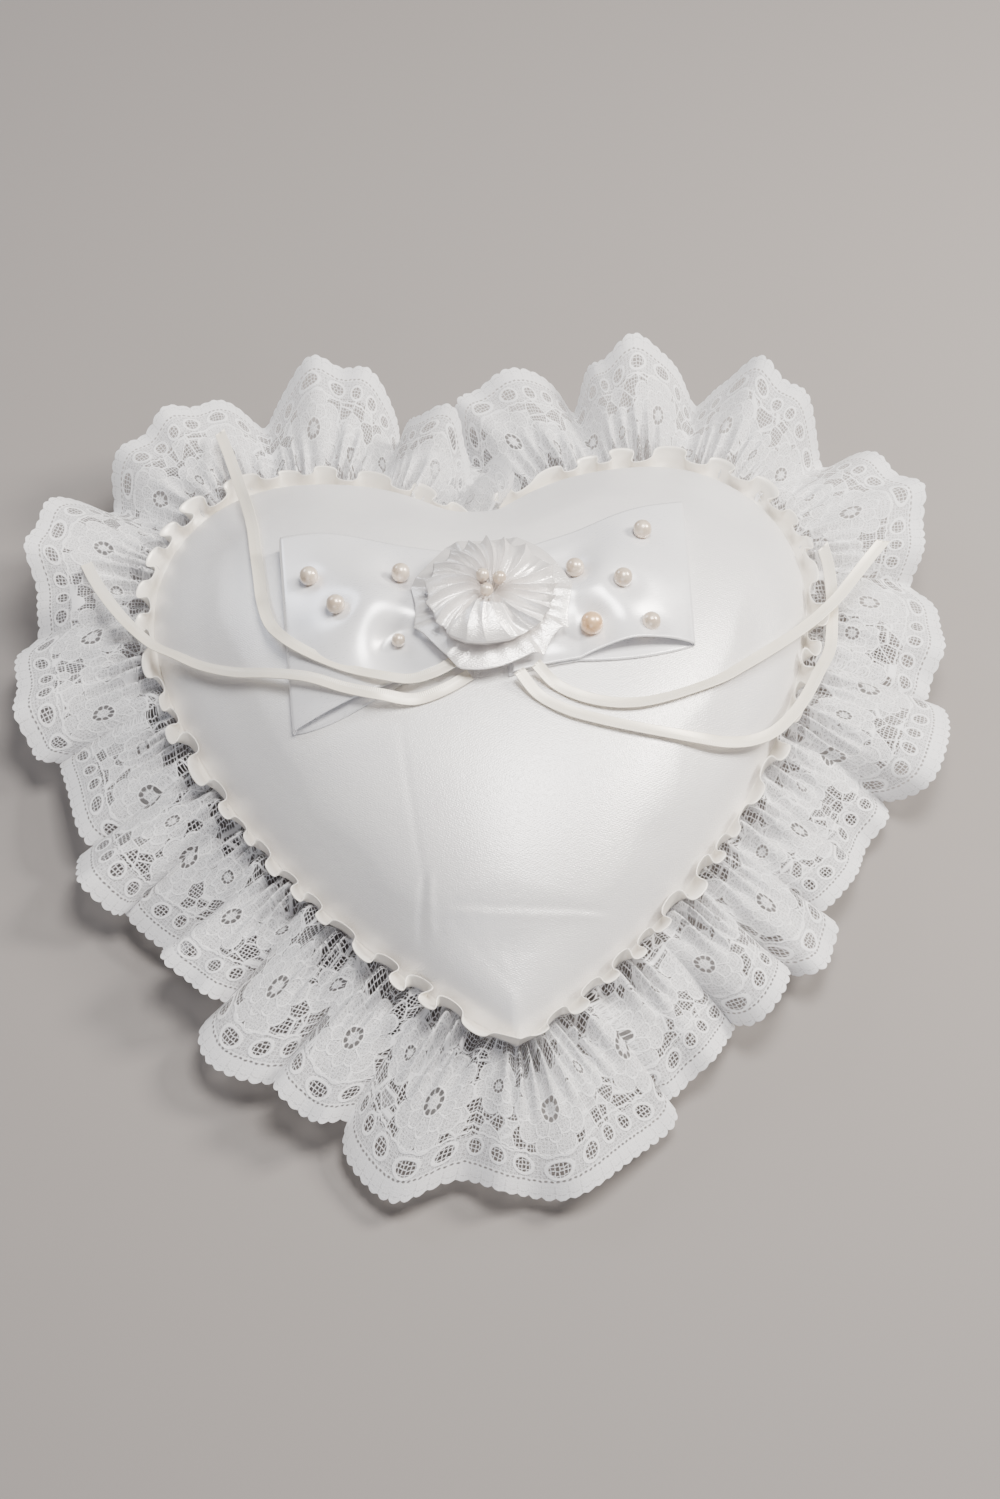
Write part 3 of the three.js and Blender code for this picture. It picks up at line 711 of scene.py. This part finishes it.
REPEAT = 42.0      # one scallop and one large flower of the lace, as woven
LACE_WIDTH = 44.0  # from the seam to the scallops' edge
LACE_Z = 24.55
LACE_COLUMNS = 2600
SCALLOP = 2.8      # how deep the edge goes in between two scallops
PICOTS = 13        # along one repeat

# Each fan of the lace, clockwise from the notch: the direction of its middle in degrees, its
# reach beyond the seam, the height of its crest and how far it laps its neighbours.
LACE_FANS = [
    (94, 17, 45, 4), (84, 44, 14, 6), (71, 47, 27, 11), (59, 40, 41, 7), (48, 37, 42, 7),
    (34, 42, 29, 12), (18, 40, 17, 11), (3, 45, 18, 11), (-14, 34, 7, 11), (-28, 34, 15, 10),
    (-41, 38, 12, 8), (-54, 35, 16, 9), (-69, 32, 9, 11), (-86, 38, 7, 12), (-99, 45, 6, 9),
    (-110, 41, 15, 7), (-124, 44, 10, 14), (-141, 37, 19, 9), (-154, 36, 8, 10),
    (-166, 44, 15, 9), (179, 36, 14, 11), (163, 42, 19, 12), (147, 38, 36, 9), (132, 38, 33, 10),
    (115, 44, 34, 11), (104, 25, 44, 5)]


def lace_edge(count):
    """The lace's outer edge. Between two tucks a fan swells by powers of the sine of its share of
    the way, outwards to its reach and up to its crest, and laps both neighbours by the sine of
    twice that share. Returned from the notch clockwise, as the direction that each place hangs from,
    how far out and how high it is, and how far to the side."""
    fans = np.array(LACE_FANS, float)
    middle = np.degrees(np.unwrap(np.radians(fans[:, 0])))
    bound = (middle + np.roll(middle, -1)) / 2
    bound[-1] = (middle[-1] + middle[0] - 360) / 2
    start = np.concatenate([[bound[-1] + 360], bound[:-1]])
    place = np.linspace(0, len(fans), count, endpoint=False)
    k, f = place.astype(int), place % 1
    swell = np.sin(math.pi * f)
    angle = np.radians(lerp(start[k], bound[k], f))
    reach, crest, lap = fans[k, 1], fans[k, 2], fans[k, 3]
    before = np.roll(fans[:, 1], 1)[k]
    after = np.roll(fans[:, 1], -1)[k]
    tuck = 0.66 * lerp(lerp(before, reach, 0.5), lerp(after, reach, 0.5), f)
    out = lerp(tuck, reach, swell ** 0.6)
    height = lerp(5 + 0.18 * crest, crest, swell ** 1.3)
    side = -0.6 * lap * np.sin(TAU * f) * (1 + 0.15 * np.sin(3.7 * place))
    return angle, out, height, side


def ring_average(values):
    """The values round a closed ring, each averaged with its neighbours under a bell."""
    reach = 30
    window = np.hanning(2 * reach + 1)
    wrapped = np.concatenate([values[-reach:], values, values[:reach]])
    return np.convolve(wrapped, window / window.sum(), "valid")


def bent(share, start, knee, end):
    """A curve that leaves start towards knee and comes from there to end."""
    return (1 - share) ** 2 * start + 2 * (1 - share) * share * knee + share * share * end


def gathered_lace(material):
    """The lace between the seam and its edge. Each thread leaves the seam outwards and bends to
    the edge on a curve of three points, ripples as it leaves the gathers, and waves a little at
    the edge. Its flat length runs with the length of the edge, in whole repeats. Places in plan
    are complex numbers."""
    angle, out, edge_z, side = lace_edge(LACE_COLUMNS)
    seam = outline_radius(angle) * np.exp(1j * angle) + 1j * CENTRE_Y
    along = np.gradient(ring_average(seam))
    along = ring_average(along / np.abs(along))
    along = along / np.abs(along)
    outward = along * 1j
    knee = seam + outward * out * 0.5 + along * side * 0.15
    edge = ring_average(seam + outward * out + along * side)
    edge_z = ring_average(edge_z)
    knee_z = LACE_Z - 1.5 + np.clip((edge_z - 14) * 0.35, -3, 9)

    step = np.hypot(np.abs(np.diff(np.append(edge, edge[0]))),
                    np.diff(np.append(edge_z, edge_z[0])))
    run = run_along(step)
    flat_length = round(run[-1] / REPEAT) * REPEAT
    flat = run / run[-1] * flat_length
    u = flat[:-1]
    scallop = SCALLOP * np.abs(np.cos(math.pi * u / REPEAT)) ** 1.5
    picot = np.abs(np.sin(math.pi * u * PICOTS / REPEAT)) ** 0.6
    share = np.concatenate([[-0.045, 0.0], np.linspace(0.02, 1, 30)])[:, None]
    v = share * (1 - scallop / LACE_WIDTH) + picot / LACE_WIDTH * ease(0.9, 1.0, share)
    w = np.clip(v, 0, None)

    fine = np.sin(TAU * u / 8.4 + 2.2 * np.sin(TAU * u / 97) + 1.3 * np.sin(TAU * u / 37))
    uneven = 1 + 0.45 * np.sin(TAU * u / 53 + 1) + 0.3 * np.sin(TAU * u / 31)
    gather = fine * uneven * ease(0, 0.06, w)
    gather = gather * (1.4 * ease(0.62, 0.2, w) + 1.1 * ease(0.34, 0.12, w))
    flutter = np.sin(TAU * u / 27 + 1.4 * np.sin(TAU * u / 71)) * w ** 1.6 * 1.5
    z = np.maximum(bent(w, LACE_Z, knee_z, edge_z) + gather + flutter, 0.6)
    into_seam = np.minimum(v, 0) * LACE_WIDTH
    plan = bent(w, seam, knee, edge) + outward * (into_seam + 0.6 * flutter)

    from_edge = (1 - scallop / LACE_WIDTH - v) * LACE_WIDTH
    from_edge = np.concatenate([from_edge, from_edge[:, :1]], 1)
    uv = grid_of(flat / REPEAT, from_edge / REPEAT)
    piece = grid_piece("lace_edging", grid_of(plan.real, plan.imag, z)[::-1], round_v=True,
                       uv=uv[::-1])
    finish_piece(piece, material, "white_lace", "lace_ruffle")


def flower(x, y, at_y, size, petals, turn=0.0):
    """A woven flower: two rows of petals, whose rims go in between petals with the cosine of
    half their angle, round a ring of small holes. Gives its body, its cords and its holes."""
    dy = y - at_y
    r = x.distance(dy)
    a = dy.angle(x) + turn
    half = a * (petals / 2)
    ridge, hollow = half.cos().abs(), half.sin().abs()
    rim = ridge.power(0.5) * (0.26 * size) + 0.74 * size
    inner_rim = hollow.power(0.5) * (0.2 * size) + 0.46 * size
    body = r.below(rim, 0.25)
    middle = r.below(0.62 * size, 0.3)
    outer = r.below(rim, 0.3) * (1 - middle)
    inner = middle * (1 - r.below(0.3 * size, 0.3))
    cords = (r - rim).abs().below(0.36, 0.25)
    cords = cords.maximum((ridge * r * (2.0 / petals)).below(0.24, 0.2) * outer)
    cords = cords.maximum((hollow * r * (2.0 / petals)).below(0.22, 0.2) * inner)
    cords = cords.maximum((r - inner_rim).abs().below(0.32, 0.25))
    cords = cords.maximum((r - 0.27 * size).abs().below(0.3, 0.25))
    eyes = (a * 4.5).cos().abs() * 0.5
    ring = ((r - 0.2 * size).abs() * (1 / (0.06 * size))).distance((0.5 - eyes) * 2.6)
    return body, cords, ring.below(0.95, 0.3)


def lace_border(u, e):
    """The lace's border, e from its scalloped edge: a firm strip of round picots with a row of
    small holes, and a band of ring motifs with a rail over it. Gives the strip, the dark of the
    picots' rims, the holes, the band round the motifs, and the cords."""
    lobe = (u * (math.pi * PICOTS)).sin().abs()
    round_lobe = lobe.power(0.6)
    sway = (u * TAU).cos() * 0.9
    strip = e.below(4.6, 0.3)
    rims = (e + round_lobe * 0.9 - 1.35).abs().below(0.16, 0.2)
    rims = rims.maximum(lobe.below(0.12, 0.12) * e.below(2.6, 0.3))
    dash_x = ((u * 28).fract() - 0.5) * (REPEAT / 28)
    holes = (dash_x * 0.75).distance((e - 3.7 - round_lobe * 0.25) * 1.2).below(0.36, 0.2)
    ring_x = ((u * 5 + (u * TAU).sin() * 0.22).fract() - 0.5) * (REPEAT / 5)
    motif = (ring_x * 0.86).distance(e - 7.7 - sway)
    band = e.near(7.4, 3.4, 0.4) * (1 - motif.below(2.1, 0.2))
    rail = (e - 11.0 - round_lobe * 0.5 - sway).abs().below(0.32, 0.25)
    return strip, rims, holes, band, (motif - 2.35).abs().below(0.42, 0.25).maximum(rail)


def lace_finish():
    """Lace as an alpha pattern over its flat length and its distance from the scalloped edge: the
    border, a large and a smaller flower to each repeat, loose petals with corded rims, and a
    fine net between them."""
    finish = Finish("white_lace", (0.86, 0.855, 0.87), 0.7, Sheen_Weight=0.25,
                    Sheen_Roughness=0.5)
    u, v, _ = finish.coordinates("UV")
    x = (u.fract() - 0.5) * REPEAT
    half_x = ((u + 0.5).fract() - 0.5) * REPEAT
    e = v * REPEAT
    flat = finish.joined(u * REPEAT, e)
    net = finish.net(flat, 1 / 1.15, 0.35).below(0.10, 0.07)
    weave = finish.net(flat, 1 / 0.55, 0.8).below(0.13, 0.12)
    large, large_cords, large_holes = flower(x, e, 23.0, 13.5, 10)
    small, small_cords, small_holes = flower(half_x, e, 27.0, 8.6, 7, 0.4)
    strip, picot_rims, strip_holes, band, border_cords = lace_border(u, e)
    clear = e.near(27.0, 16.5, 1.0) * (1 - large.maximum(small))
    petals = finish.cell_number(flat, 1 / 5.4, 0.8).below(0.3, 0.02) * clear
    petal_cords = finish.net(flat, 1 / 5.4, 0.8).below(0.045, 0.045) * clear
    dense = large.maximum(small).maximum(petals) * (weave * 0.42 + 0.46)
    bright = large_cords.maximum(small_cords).maximum(petal_cords).maximum(border_cords)
    alpha = net.maximum(dense).maximum(bright).maximum(strip * (picot_rims * -0.25 + 0.93))
    alpha = alpha.maximum(band * (weave * 0.4 + 0.4))
    alpha = alpha * (1 - large_holes.maximum(small_holes).maximum(strip_holes) * 0.88)
    finish.alpha_from(alpha)
    finish.bump_from(bright + weave * 0.3 + dense * 0.4 + strip * 0.3, 0.16, 0.8)
    finish.color_from(bright * 0.6 + dense * 0.4 + strip * 0.4,
                      (0.74, 0.735, 0.755), (0.92, 0.915, 0.925), (0.0, 0.8))
    return finish.material


gathered_lace(lace_finish())

# ---- Ribbon ruffle round the seam -----------------------------------------------------------

TRIM_Z = 25.45
TRIM_HEIGHT = 5.4
TRIM_PLEATS = 50
TRIM_SWING = 2.15


def ribbon_ruffle(material):
    """A narrow ribbon gathered along one edge into the seam. Its free edge stands up and leans
    out, and meanders: out and back once a pleat, and along the seam twice a pleat, so that the
    pleats lean over themselves. Pleats are longer in some stretches than in others."""
    px, py, nx, ny, place, length = seam_line(3600)
    turn = TAU * place / length
    phase = TRIM_PLEATS * turn + 1.1 * np.sin(5 * turn + 0.6) + 0.8 * np.sin(11 * turn)
    phase = phase + 0.6 * np.sin(17 * turn + 2)
    lively = 1 + 0.25 * np.sin(7 * turn + 1) + 0.22 * np.sin(13 * turn + 2.2)
    lively = lively + 0.15 * np.sin(29 * turn)
    v = np.concatenate([[-0.4, 0.0], np.linspace(0.12, 1, 9)])[:, None]
    free = np.clip(v, 0, 1)
    swing = TRIM_SWING * free ** 0.8 * lively * np.sin(phase)
    lean = v * 7.4 * (v < 0) + 1.2 * ease(0, 0.2, v) + 1.5 * free ** 1.3
    out = lean + swing + 0.3 * free * np.sin(0.5 * phase + 1)
    along = -1.25 * free * lively * np.sin(2 * phase + 0.3) - 0.6 * free * np.cos(phase + turn)
    stand = np.sin(free * 0.45 * math.pi) / math.sin(0.45 * math.pi)
    z = TRIM_Z + TRIM_HEIGHT * stand + 0.5 * free ** 2 * np.cos(phase * 0.5 + turn * 9)
    points = grid_of(px + nx * out - ny * along, py + ny * out + nx * along, z)
    uv = grid_of(np.append(place, length) * 1.7, free)
    piece = grid_piece("seam_ruffle", points[::-1], round_v=True, uv=uv[::-1])
    thicken(piece, 0.25)
    finish_piece(piece, material, "ivory_ribbon", "ribbon_ruffle_trim")


ivory_ribbon = ribbon_satin("ivory_ribbon", (0.83, 0.78, 0.69), (0.94, 0.895, 0.82), 0.36, 7)
ribbon_ruffle(ivory_ribbon)

# ---- Bow ------------------------------------------------------------------------------------

BOW_X = 1.0
LOOP_LENGTH = 52.0
BOW_LIFT = 1.1

LOWER_ROWS, UPPER_ROWS, FOLD_ROWS = 44, 72, 13
LOOP_COLUMNS = 65


class Loop(NamedTuple):
    """A loop of the bow: its name and side, where the middle of its ribbon lies under the
    rosette and at its fold, and its width at both. Along its front the layers part like lips:
    where that starts and how much it leans towards the fold, how far they part, what share of
    that the lower one takes, and how far the upper one lifts."""
    name: str
    side: int
    root_y: float
    fold_y: float
    root_width: float
    fold_width: float
    lip_start: float
    lip_lean: float
    lip_parting: float
    lower_share: float
    lip_lift: float


LEFT_LOOP = Loop("left_loop", -1, 8, 7, 34, 58, 0.38, 1.4, 2.4, 0.5, 0.7)
RIGHT_LOOP = Loop("right_loop", 1, 3, 19, 38, 46, 0.42, 1.0, 3.0, 0.45, 2.8)

# Each pearl: its place, its size, and how wide and how deep its stitch draws the ribbon down
BOW_PEARLS = [(-45, 19.3, 5, 3.6, 0.9), (-38.4, 7.4, 5, 3.6, 1.1), (-21.4, 17.8, 5, 6.2, 4.2),
              (-23, -3.4, 3.6, 6.4, 4.2), (42.1, 28.1, 5, 3.6, 1.0), (23.4, 16, 5, 5.6, 3.0),
              (35.3, 10.6, 5, 4.2, 1.3), (41.6, -0.7, 5, 3.8, 1.0), (26.2, -2.1, 6, 6.0, 3.4)]


def loop_middle(loop, s):
    return lerp(loop.root_y, loop.fold_y, s)


def loop_width(loop, s):
    return lerp(loop.root_width, loop.fold_width, ease(0, 1, s))


def loop_rise(loop, s, w, x, y):
    """How far a loop's upper layer lies above its lower one: a gap that opens towards the fold
    and the back edge, a puffed belly, pleats that run out of the gathers and die away, and the
    dimples that the pearls' stitches draw in it. It never comes down to the lower layer."""
    curl = 1 - ease(0.1, 0.72, s)
    gap = lerp(1.2, lerp(1.6, 4.5, (w + 1) / 2), ease(0.4, 0.85, s))
    belly = ease(0.1, 0.5, s) * ease(1.03, 0.62, s) * np.exp(-((w - 0.05) / 0.58) ** 2)
    belly = belly * (3.6 + 1.3 * np.exp(-((s - 0.56) / 0.12) ** 2))
    fan = w * (1 + 0.5 * curl)
    pleat = np.sin(6.2 * fan + 1.1 * loop.side) + 0.5 * np.sin(12.5 * fan + 2 * loop.side)
    soft = 0.35 * np.sin(2.6 * w + 5.2 * s + loop.side) * ease(0.3, 0.6, s)
    rise = gap + belly + 0.9 * pleat * curl ** 1.4 * (1 - np.abs(w) ** 3) + soft
    for px, py, _, wide, deep in BOW_PEARLS:
        if px * loop.side > 0:
            rise = rise - deep * np.exp(-((x - px) ** 2 + (y - py) ** 2) / wide ** 2)
    lowest = 0.8 + 0.25 * s
    return lowest + np.log1p(np.exp((rise - lowest) * 2.5)) / 2.5


def bow_loop(loop, material):
    """One loop of the bow. Its ribbon leaves from under the rosette along the satin, folds over
    at the end on half a circle and comes back on top. The layers part along the front by half a
    sine that grows towards the edge."""
    turn = np.linspace(0, math.pi, FOLD_ROWS + 2)[1:-1]
    layer = np.concatenate([np.zeros(LOWER_ROWS), (1 - np.cos(turn)) / 2,
                            np.ones(UPPER_ROWS)])[:, None]
    s = np.concatenate([np.linspace(0.06, 1, LOWER_ROWS), 1 + 0.014 * np.sin(turn),
                        np.linspace(1, 0.08, UPPER_ROWS)])[:, None]
    w = np.linspace(-1, 1, LOOP_COLUMNS)[None, :]
    x = BOW_X + loop.side * s * LOOP_LENGTH + loop.side * 0.9 * w * ease(0.5, 1, s)
    y = loop_middle(loop, s) + w * loop_width(loop, s) / 2
    share = np.clip((s - loop.lip_start) / (1 - loop.lip_start), 0, 1) ** loop.lip_lean
    lip = np.sin(math.pi * share) ** 0.8 * ((1 - w) / 2) ** 2.2
    y = y + (layer - loop.lower_share) * loop.lip_parting * lip
    rise = loop_rise(loop, s, w, x, y) + loop.lip_lift * lip
    ripple = 0.14 * np.sin(0.21 * x + 0.13 * y + 2 * loop.side) + 0.1 * np.sin(0.12 * x - 0.31 * y)
    points = grid_of(x, y, top_height(x, y) + BOW_LIFT + layer * (rise + ripple))
    step = np.linalg.norm(np.diff(points[:, LOOP_COLUMNS // 2], axis=0), axis=1)
    run = run_along(step)[:, None]
    uv = grid_of(run, (w + 1) / 2)
    if loop.side > 0:
        points, uv = points[:, ::-1], uv[:, ::-1]
    piece = grid_piece(loop.name, points, uv=uv)
    thicken(piece, 0.35)
    finish_piece(piece, material, "bow_satin", "bow_" + loop.name)


def loop_top(x, y):
    """The height of the bow's upper side over a place in plan."""
    loop = RIGHT_LOOP if x > BOW_X else LEFT_LOOP
    s = abs(x - BOW_X) / LOOP_LENGTH
    w = 2 * (y - loop_middle(loop, s)) / loop_width(loop, s)
    return float(top_height(x, y) + BOW_LIFT + loop_rise(loop, s, w, x, y) + 0.17)


bow_satin = ribbon_satin("bow_satin", (0.82, 0.815, 0.85), (0.915, 0.91, 0.925), 0.27, 48)
bow_loop(LEFT_LOOP, bow_satin)
bow_loop(RIGHT_LOOP, bow_satin)

# ---- Rosette --------------------------------------------------------------------------------

ROSETTE_X, ROSETTE_Y = 1.0, 5.0
DISC_Z = SEAM_Z + DOME + 4.4
RUFFLE_Z = DISC_Z + 1.8
PUFF_Z = RUFFLE_Z + 1.5
TIER_FOLDS = 8
TIER_RING = 6.0   # the radius that its ribbon is gathered to
TIER_RIM = 21.2
PUFF_RIM = 16.9
PUFF_TOP = PUFF_Z + 5


def around_rosette(angle, radius, z):
    return grid_of(ROSETTE_X + radius * np.cos(angle), ROSETTE_Y + radius * np.sin(angle), z)


def outer_ruffle(material):
    """The rosette's outer tier: a folded ribbon gathered to a ring. Its section is a thin flat
    loop, round at the rim. Its rim is an uneven polygon whose sides each climb a little and drop
    at the corner onto the next, as laid folds do, and small gathers run out from the ring."""
    angle = np.linspace(0, TAU, 720, endpoint=False)[:, None]
    section = np.linspace(0, TAU, 48, endpoint=False)[None, :]
    out = (1 - np.cos(section)) / 2
    bent_angle = angle + 0.16 * np.sin(2 * angle + 0.9) + 0.1 * np.sin(3 * angle + 2)
    turns = (TIER_FOLDS * (bent_angle + 0.12 * out) / TAU + 0.3) % 1
    facet = math.cos(math.pi / TIER_FOLDS) / np.cos(np.abs(turns - 0.5) * TAU / TIER_FOLDS)
    saw = turns * ease(1.0, 0.82, turns)
    lobe = np.exp(-(np.angle(np.exp(1j * (angle - 0.85))) / 0.45) ** 2)
    rim = TIER_RIM * facet + 0.4 * np.sin(3 * angle + 1) + 1.3 * lobe
    radius = TIER_RING + (rim - TIER_RING) * out
    half = 0.2 + 0.3 * np.sin(math.pi * out)
    side = np.where(section < math.pi, 1, -1) * np.abs(np.sin(section)) ** 0.5
    gathers = np.sin(23 * bent_angle + 2 * np.sin(4 * angle)) * np.sin(math.pi * out) ** 1.5
    wave = out ** 1.2 * (2.3 * saw - 1.0 + 0.8 * lobe) + 0.18 * gathers
    z = RUFFLE_Z + half * side + wave - 1.0 * out ** 4 + 0.4
    uv = grid_of(np.linspace(0, 210, 721)[:, None], np.linspace(0, 1, 49)[None, :])
    piece = grid_piece("rosette_tier", around_rosette(angle, radius, z)[:, ::-1],
                       round_u=True, round_v=True, uv=uv[:, ::-1])
    finish_piece(piece, material, "rosette_satin", "rosette_outer_ruffle")


def inner_puff(material):
    """The rosette's inner tier, drawn into pleats towards its middle. Its height rises from the
    middle, stays nearly level and droops a little at the rim. The pleats are sharp ridges, a
    cosine's cusps, that swirl a little, with broad hollows between them, and one lap lies over
    them in front. Its back is flat."""
    angle = np.linspace(0, TAU, 1080, endpoint=False)[None, :]
    upper, lower = np.append(0, np.linspace(0.03, 1, 56)), np.linspace(1, 0, 12)[1:]
    share = np.concatenate([upper, lower])[:, None]
    under = np.arange(len(share))[:, None] >= len(upper)
    swirl = angle - 0.35 * share ** 1.3 + 0.1 * np.sin(angle * 3 + 0.7)
    ridge = 1 - np.abs(np.cos(8.5 * swirl + 0.5 * np.sin(4 * angle + 1) + angle / 2)) ** 0.85
    second = 1 - np.abs(np.cos(15 * swirl + 1.2 + 2 * share))
    toward = np.angle(np.exp(1j * (angle + math.pi / 2 + 0.2)))
    lap = ease(0.62, 0.5, np.abs(toward)) * ease(0.3, 0.38, share)
    ridge = lerp(ridge, 0.55 + 0.45 * np.cos(3.1 * toward + 1.2 * share), lap * 0.85)
    rim = PUFF_RIM + 0.5 * np.sin(2 * angle + 0.5) + 0.3 * np.sin(5 * angle) + 0.5 * lap
    radius = share * rim * (1 - 0.07 * (1 - ridge) * ease(0.55, 1, share))
    puff = ease(0, 0.36, share) ** 0.8 * (1 - 0.6 * share ** 4)
    fold = (2.5 * ridge + 0.5 * second * (1 - lap)) * ease(0, 0.25, share)
    height = 0.9 + 2.5 * puff + fold * (0.35 + 0.65 * puff) + 1.2 * lap * puff
    z = PUFF_Z + np.where(under, 0.1, np.maximum(height, 0.3))
    uv = grid_of(np.linspace(0, 24, len(share))[:, None], np.linspace(0, 12, 1081)[None, :])
    piece = grid_piece("rosette_puff", around_rosette(angle, radius, z), round_v=True, uv=uv)
    finish_piece(piece, material, "rosette_satin", "rosette_inner_puff")


rosette_satin = satin("rosette_satin", (0.83, 0.79, 0.77), (0.94, 0.91, 0.89), 0.24, 0.4)
outer_ruffle(rosette_satin)
inner_puff(rosette_satin)

# ---- Pearls ---------------------------------------------------------------------------------


def pearl(name, x, y, z, size, material, slot):
    """A round bead that lies with the ends of its bore to the sides: near its poles the surface
    turns in, by a bell of the sine."""
    turn = np.linspace(0, TAU, 40, endpoint=False)[None, :]
    t = np.linspace(0, math.pi, 27)[:, None]
    bore = 0.16 * np.exp(-(np.sin(t) / 0.2) ** 2)
    along = size / 2 * np.cos(t) * (1 - bore)
    off = size / 2 * np.sin(t)
    points = grid_of(x + along, y + off * np.cos(turn), z + off * np.sin(turn))
    piece = grid_piece(name.replace("pearl", "bead"), points, round_v=True)
    finish_piece(piece, material, slot, name)


PEACH_SIZE = 6
ivory_pearl = pearl_finish("ivory_pearl", (0.64, 0.5, 0.38), (0.83, 0.71, 0.58))
peach_pearl = pearl_finish("peach_pearl", (0.68, 0.4, 0.2), (0.82, 0.56, 0.33))

for index, (dx, dy) in enumerate([(-1.9, 2.8), (2.3, 1.7), (-1.2, -1.9)]):
    pearl(f"rosette_pearl_{index + 1}", ROSETTE_X + dx, ROSETTE_Y + dy, PUFF_TOP + 0.6, 3.5,
          ivory_pearl, "ivory_pearl")
for index, (x, y, size, _, _) in enumerate(BOW_PEARLS):
    material, slot = ((peach_pearl, "peach_pearl") if size == PEACH_SIZE
                      else (ivory_pearl, "ivory_pearl"))
    pearl(f"bow_pearl_{index + 1}", x, y, loop_top(x, y) + size / 2 - 0.15, size, material, slot)

# ---- The disc behind the rosette, and the floor ---------------------------------------------


def backing_disc():
    """Felt with a soft fuzz on the frame's own disc."""
    felt = Finish("backing_felt", (0.86, 0.84, 0.8), 0.92, Sheen_Weight=0.3)
    fuzz = felt.noise(1400, 4)
    felt.color_from(fuzz, (0.8, 0.78, 0.74), (0.9, 0.88, 0.85), (0.35, 0.65))
    felt.bump_from(fuzz, 0.2)
    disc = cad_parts["rosette_backing_disc"]
    disc.data.materials.clear()
    disc.data.materials.append(felt.material)


FLOOR_REACH = 8000


def pale_floor():
    """A pale sheet that the pillow lies on."""
    edge = np.array([-FLOOR_REACH, 0, FLOOR_REACH])
    x, y = np.meshgrid(edge, edge, indexing="ij")
    piece = grid_piece("floor", grid_of(x, y, 0))
    piece.data.materials.append(Finish("pale_floor", (0.25, 0.23, 0.22), 0.9).material)


backing_disc()
pale_floor()
